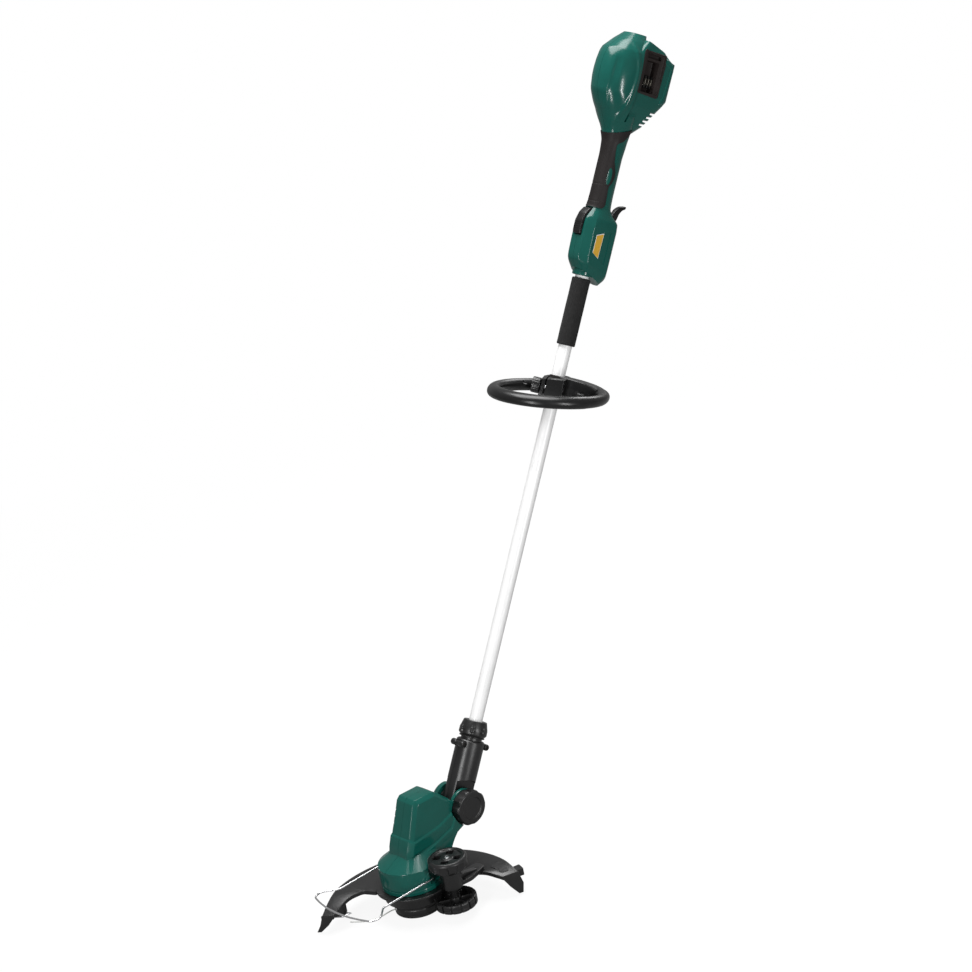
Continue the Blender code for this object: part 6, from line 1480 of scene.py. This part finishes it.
def buildWheel():
    r, bottom, top = wheel["radius"], wheel["bottom"], wheel["bottom"] + wheel["height"]
    bore, hub, rim = wheel["axle"] + wheel["room"], wheel["hub"], r - wheel["rim"]
    profile = [(r - 0.0012, top), (r, top - 0.0014), (r, bottom + 0.0014), (r - 0.0012, bottom), (bore, bottom),
               (bore, top), (hub, top), (hub + 0.0005, bottom + 0.005), (rim - 0.0005, bottom + 0.005), (rim, top)]
    spokes = around(wheel["spokes"], lambda: block((0.0085, -0.0012, bottom + 0.004), (0.0290, 0.0012, top - 0.003), 0.0004, 2))
    gaps = around(wheel["gaps"], lambda: block((r - 0.0024, -0.0016, bottom - 0.005), (r + 0.003, 0.0016, top + 0.005)))
    low, high = bottom + 0.0068, bottom + 0.0082
    groove = turned([(r - 0.0006, low), (r + 0.003, low), (r + 0.003, high), (r - 0.0006, high)], 144)
    piece("edgeWheel", turned(profile, 180, 0.0007), wheelAt, "black", "edge_wheel", "edge_wheel",
          add=[spokes], cut=[gaps, groove], edges=(0.0003, 2, 40))


def buildBracket():
    x, y = place["wheel"]
    low, high, post, bottom = bracket["bottom"], bracket["top"], bracket["post"], wheel["bottom"]
    shape = turned([(0, low), (post - 0.001, low), (post, high - 0.006), (post, high), (0, high)], 96, 0.0006, closed=False)
    foot = guard["top"] + room
    arm = [(x - 0.014, y), (x + 0.010, y), (x + 0.0135, y + 0.030), (x + 0.004, y + 0.066), (x - 0.016, y + 0.066),
           (x - 0.017, y + 0.030)]
    rib = [(y, foot + 0.001), (y + 0.050, foot + 0.001), (y + 0.050, foot + 0.009), (y, high - 0.012)]
    adds = [
        bar(bracket["spigot"], (x, y, bottom + wheel["height"] + wheel["room"]), (x, y, low + 0.002), 48),
        plate(arm, foot, foot + 0.007, axis=2, soften=0.005, edge=0.0010),
        plate(rib, x - 0.005, x + 0.004, edge=0.0010),
    ]
    piece("wheelBracket", moved(shape, (x, y, 0)), headFrame, "black", "motor_head", "wheel_bracket", add=adds,
          cut=[bar(wheel["axle"] + room, (x, y, 0), (x, y, 0.12), 40)])
    piece("wheelAxle", bar(wheel["axle"], (x, y, bottom - 0.002), (x, y, 0.098), 40), headFrame, "steel",
          "motor_head", "wheel_axle", add=[bar(0.0065, (x, y, bottom - 0.0035), (x, y, bottom - 0.0005), 48, edge=0.0006)])


def buildWheelKnob():
    r, low, high = wheelKnob["radius"], wheelKnob["bottom"], wheelKnob["bottom"] + wheelKnob["height"]
    bore, out = wheel["axle"] + wheel["room"], r + 0.0030
    profile = [(r - 0.003, high), (r, high - 0.003), (r, low + 0.0095), (r - 0.0035, low + 0.0040), (r - 0.0095, low),
               (bore, low), (bore, high - 0.0055), (0.0042, high - 0.0055), (0.0042, high - 0.001), (0.0085, high - 0.001),
               (0.0100, high - 0.0025), (r - 0.009, high - 0.0025), (r - 0.008, high)]

    def flute():
        return bar(wheelKnob["fluteRadius"], (out, 0, low - 0.01), (out, 0, high - 0.0055), 48, edge=0.0025)

    def pocket():
        return block((0.0115, -0.0062, high - 0.014), (r - 0.0095, 0.0062, high + 0.01), 0.0012)

    cuts = [around(wheelKnob["flutes"], flute), around(wheelKnob["pockets"], pocket, wheelKnob["turn"])]
    piece("wheelKnob", turned(profile, 180, 0.0008), wheelAt, "black", "wheel_knob", "wheel_knob",
          cut=cuts, edges=(0.0005, 3, 35))
    piece("knobScrew", bar(0.0038, (0, 0, high - 0.0052), (0, 0, high - 0.0015), 40, edge=0.0004), wheelAt, "steel",
          "wheel_knob", "knob_screw", cut=[block((-0.003, -0.0004, high - 0.0025), (0.003, 0.0004, high))])


buildWheel()
buildBracket()
buildWheelKnob()
print("wheel, bracket and knob made")


# Floor, world and lamps
studio = {"floor": 24.0, "floorToLight": 0.16, "floorToCamera": 0.86, "aim": (0.0, 0.36, 0.60), "ambient": 0.16,
          "near": 0.90, "shine": 0.20, "clearFrom": 0.7, "clearTo": 2.2}
softboxes = {
    "keyStrip": {"azimuth": 22, "elevation": 10, "away": 2.4, "size": (0.15, 1.6), "power": 30},
    "fillStrip": {"azimuth": 84, "elevation": 6, "away": 2.4, "size": (0.14, 1.2), "power": 25},
    "topBox": {"azimuth": 225, "elevation": 80, "away": 2.6, "size": (2.2, 1.8), "power": 120},
    "backBox": {"azimuth": 200, "elevation": 30, "away": 2.8, "size": (1.2, 1.2), "power": 26},
}


def makeFloor():
    # grey for the light it throws back, lighter to the camera, and clear white away from the object
    bm = bmesh.new()
    bmesh.ops.create_grid(bm, x_segments=2, y_segments=2, size=studio["floor"])
    floor = toObject("studioFloor", bm)
    mat, shader, coords = startMaterial("studioFloor", {"Roughness": 0.9, "Specular IOR Level": 0.0})
    tree = mat.node_tree
    seen = addNode(tree, "LightPath")
    grey = addNode(tree, "MapRange", {"To Min": studio["floorToLight"], "To Max": studio["floorToCamera"]})
    tree.links.new(seen.outputs["Is Camera Ray"], grey.inputs["Value"])
    tree.links.new(grey.outputs["Result"], shader.inputs["Base Color"])
    away = addNode(tree, "VectorMath", operation="LENGTH")
    share = addNode(tree, "MapRange", {
        "From Min": studio["clearFrom"], "From Max": studio["clearTo"], "To Min": studio["near"],
    })
    tree.links.new(coords.outputs["Object"], away.inputs[0])
    tree.links.new(away.outputs["Value"], share.inputs["Value"])
    clear = addNode(tree, "Emission", {"Strength": 1.0})
    amount = addClear(tree, shader.outputs["BSDF"], clear.outputs["Emission"], tree.nodes["Material Output"])
    tree.links.new(share.outputs["Result"], amount)
    floor.data.materials.append(mat)


def addClear(tree, plain, clear, result):
    # rays that see the background itself find it white, and those from gloss a share of that
    def math(operation, first, second):
        node = addNode(tree, "Math", operation=operation)
        for socket, value in zip(node.inputs, (first, second)):
            if isinstance(value, float):
                socket.default_value = value
            else:
                tree.links.new(value, socket)
        return node

    rays = addNode(tree, "LightPath").outputs
    gloss = math("MULTIPLY", rays["Is Glossy Ray"], studio["shine"])
    seen = math("MAXIMUM", rays["Is Camera Ray"], gloss.outputs["Value"])
    through = math("MAXIMUM", seen.outputs["Value"], rays["Is Transmission Ray"])
    amount = math("MULTIPLY", through.outputs["Value"], 1.0)
    mix = addNode(tree, "MixShader")
    tree.links.new(amount.outputs["Value"], mix.inputs["Fac"])
    tree.links.new(plain, mix.inputs[1])
    tree.links.new(clear, mix.inputs[2])
    tree.links.new(mix.outputs["Shader"], result.inputs["Surface"])
    return amount.inputs[1]


def makeWorld():
    world = bpy.data.worlds.new("studioWorld")
    world.use_nodes = True
    tree = world.node_tree
    plain = tree.nodes["Background"]
    plain.inputs["Color"].default_value = (1, 1, 1, 1)
    plain.inputs["Strength"].default_value = studio["ambient"]
    clear = addNode(tree, "Background", {"Strength": 1.0, "Color": (1, 1, 1, 1)})
    addClear(tree, plain.outputs["Background"], clear.outputs["Background"], tree.nodes["World Output"])
    scene.world = world


def makeSoftbox(name, box):
    azimuth, elevation = radians(box["azimuth"]), radians(box["elevation"])
    direction = Vector((sin(azimuth) * cos(elevation), -cos(azimuth) * cos(elevation), sin(elevation)))
    lamp = bpy.data.lights.new(name, "AREA")
    lamp.shape = "RECTANGLE"
    lamp.size, lamp.size_y = box["size"]
    lamp.energy = box["power"]
    obj = bpy.data.objects.new(name, lamp)
    aim = direction.to_track_quat("Z", "Y").to_matrix().to_4x4()
    obj.matrix_world = Matrix.Translation(Vector(studio["aim"]) + direction * box["away"]) @ aim
    scene.collection.objects.link(obj)


makeFloor()
makeWorld()
for name, box in softboxes.items():
    makeSoftbox(name, box)
print("studio ready")
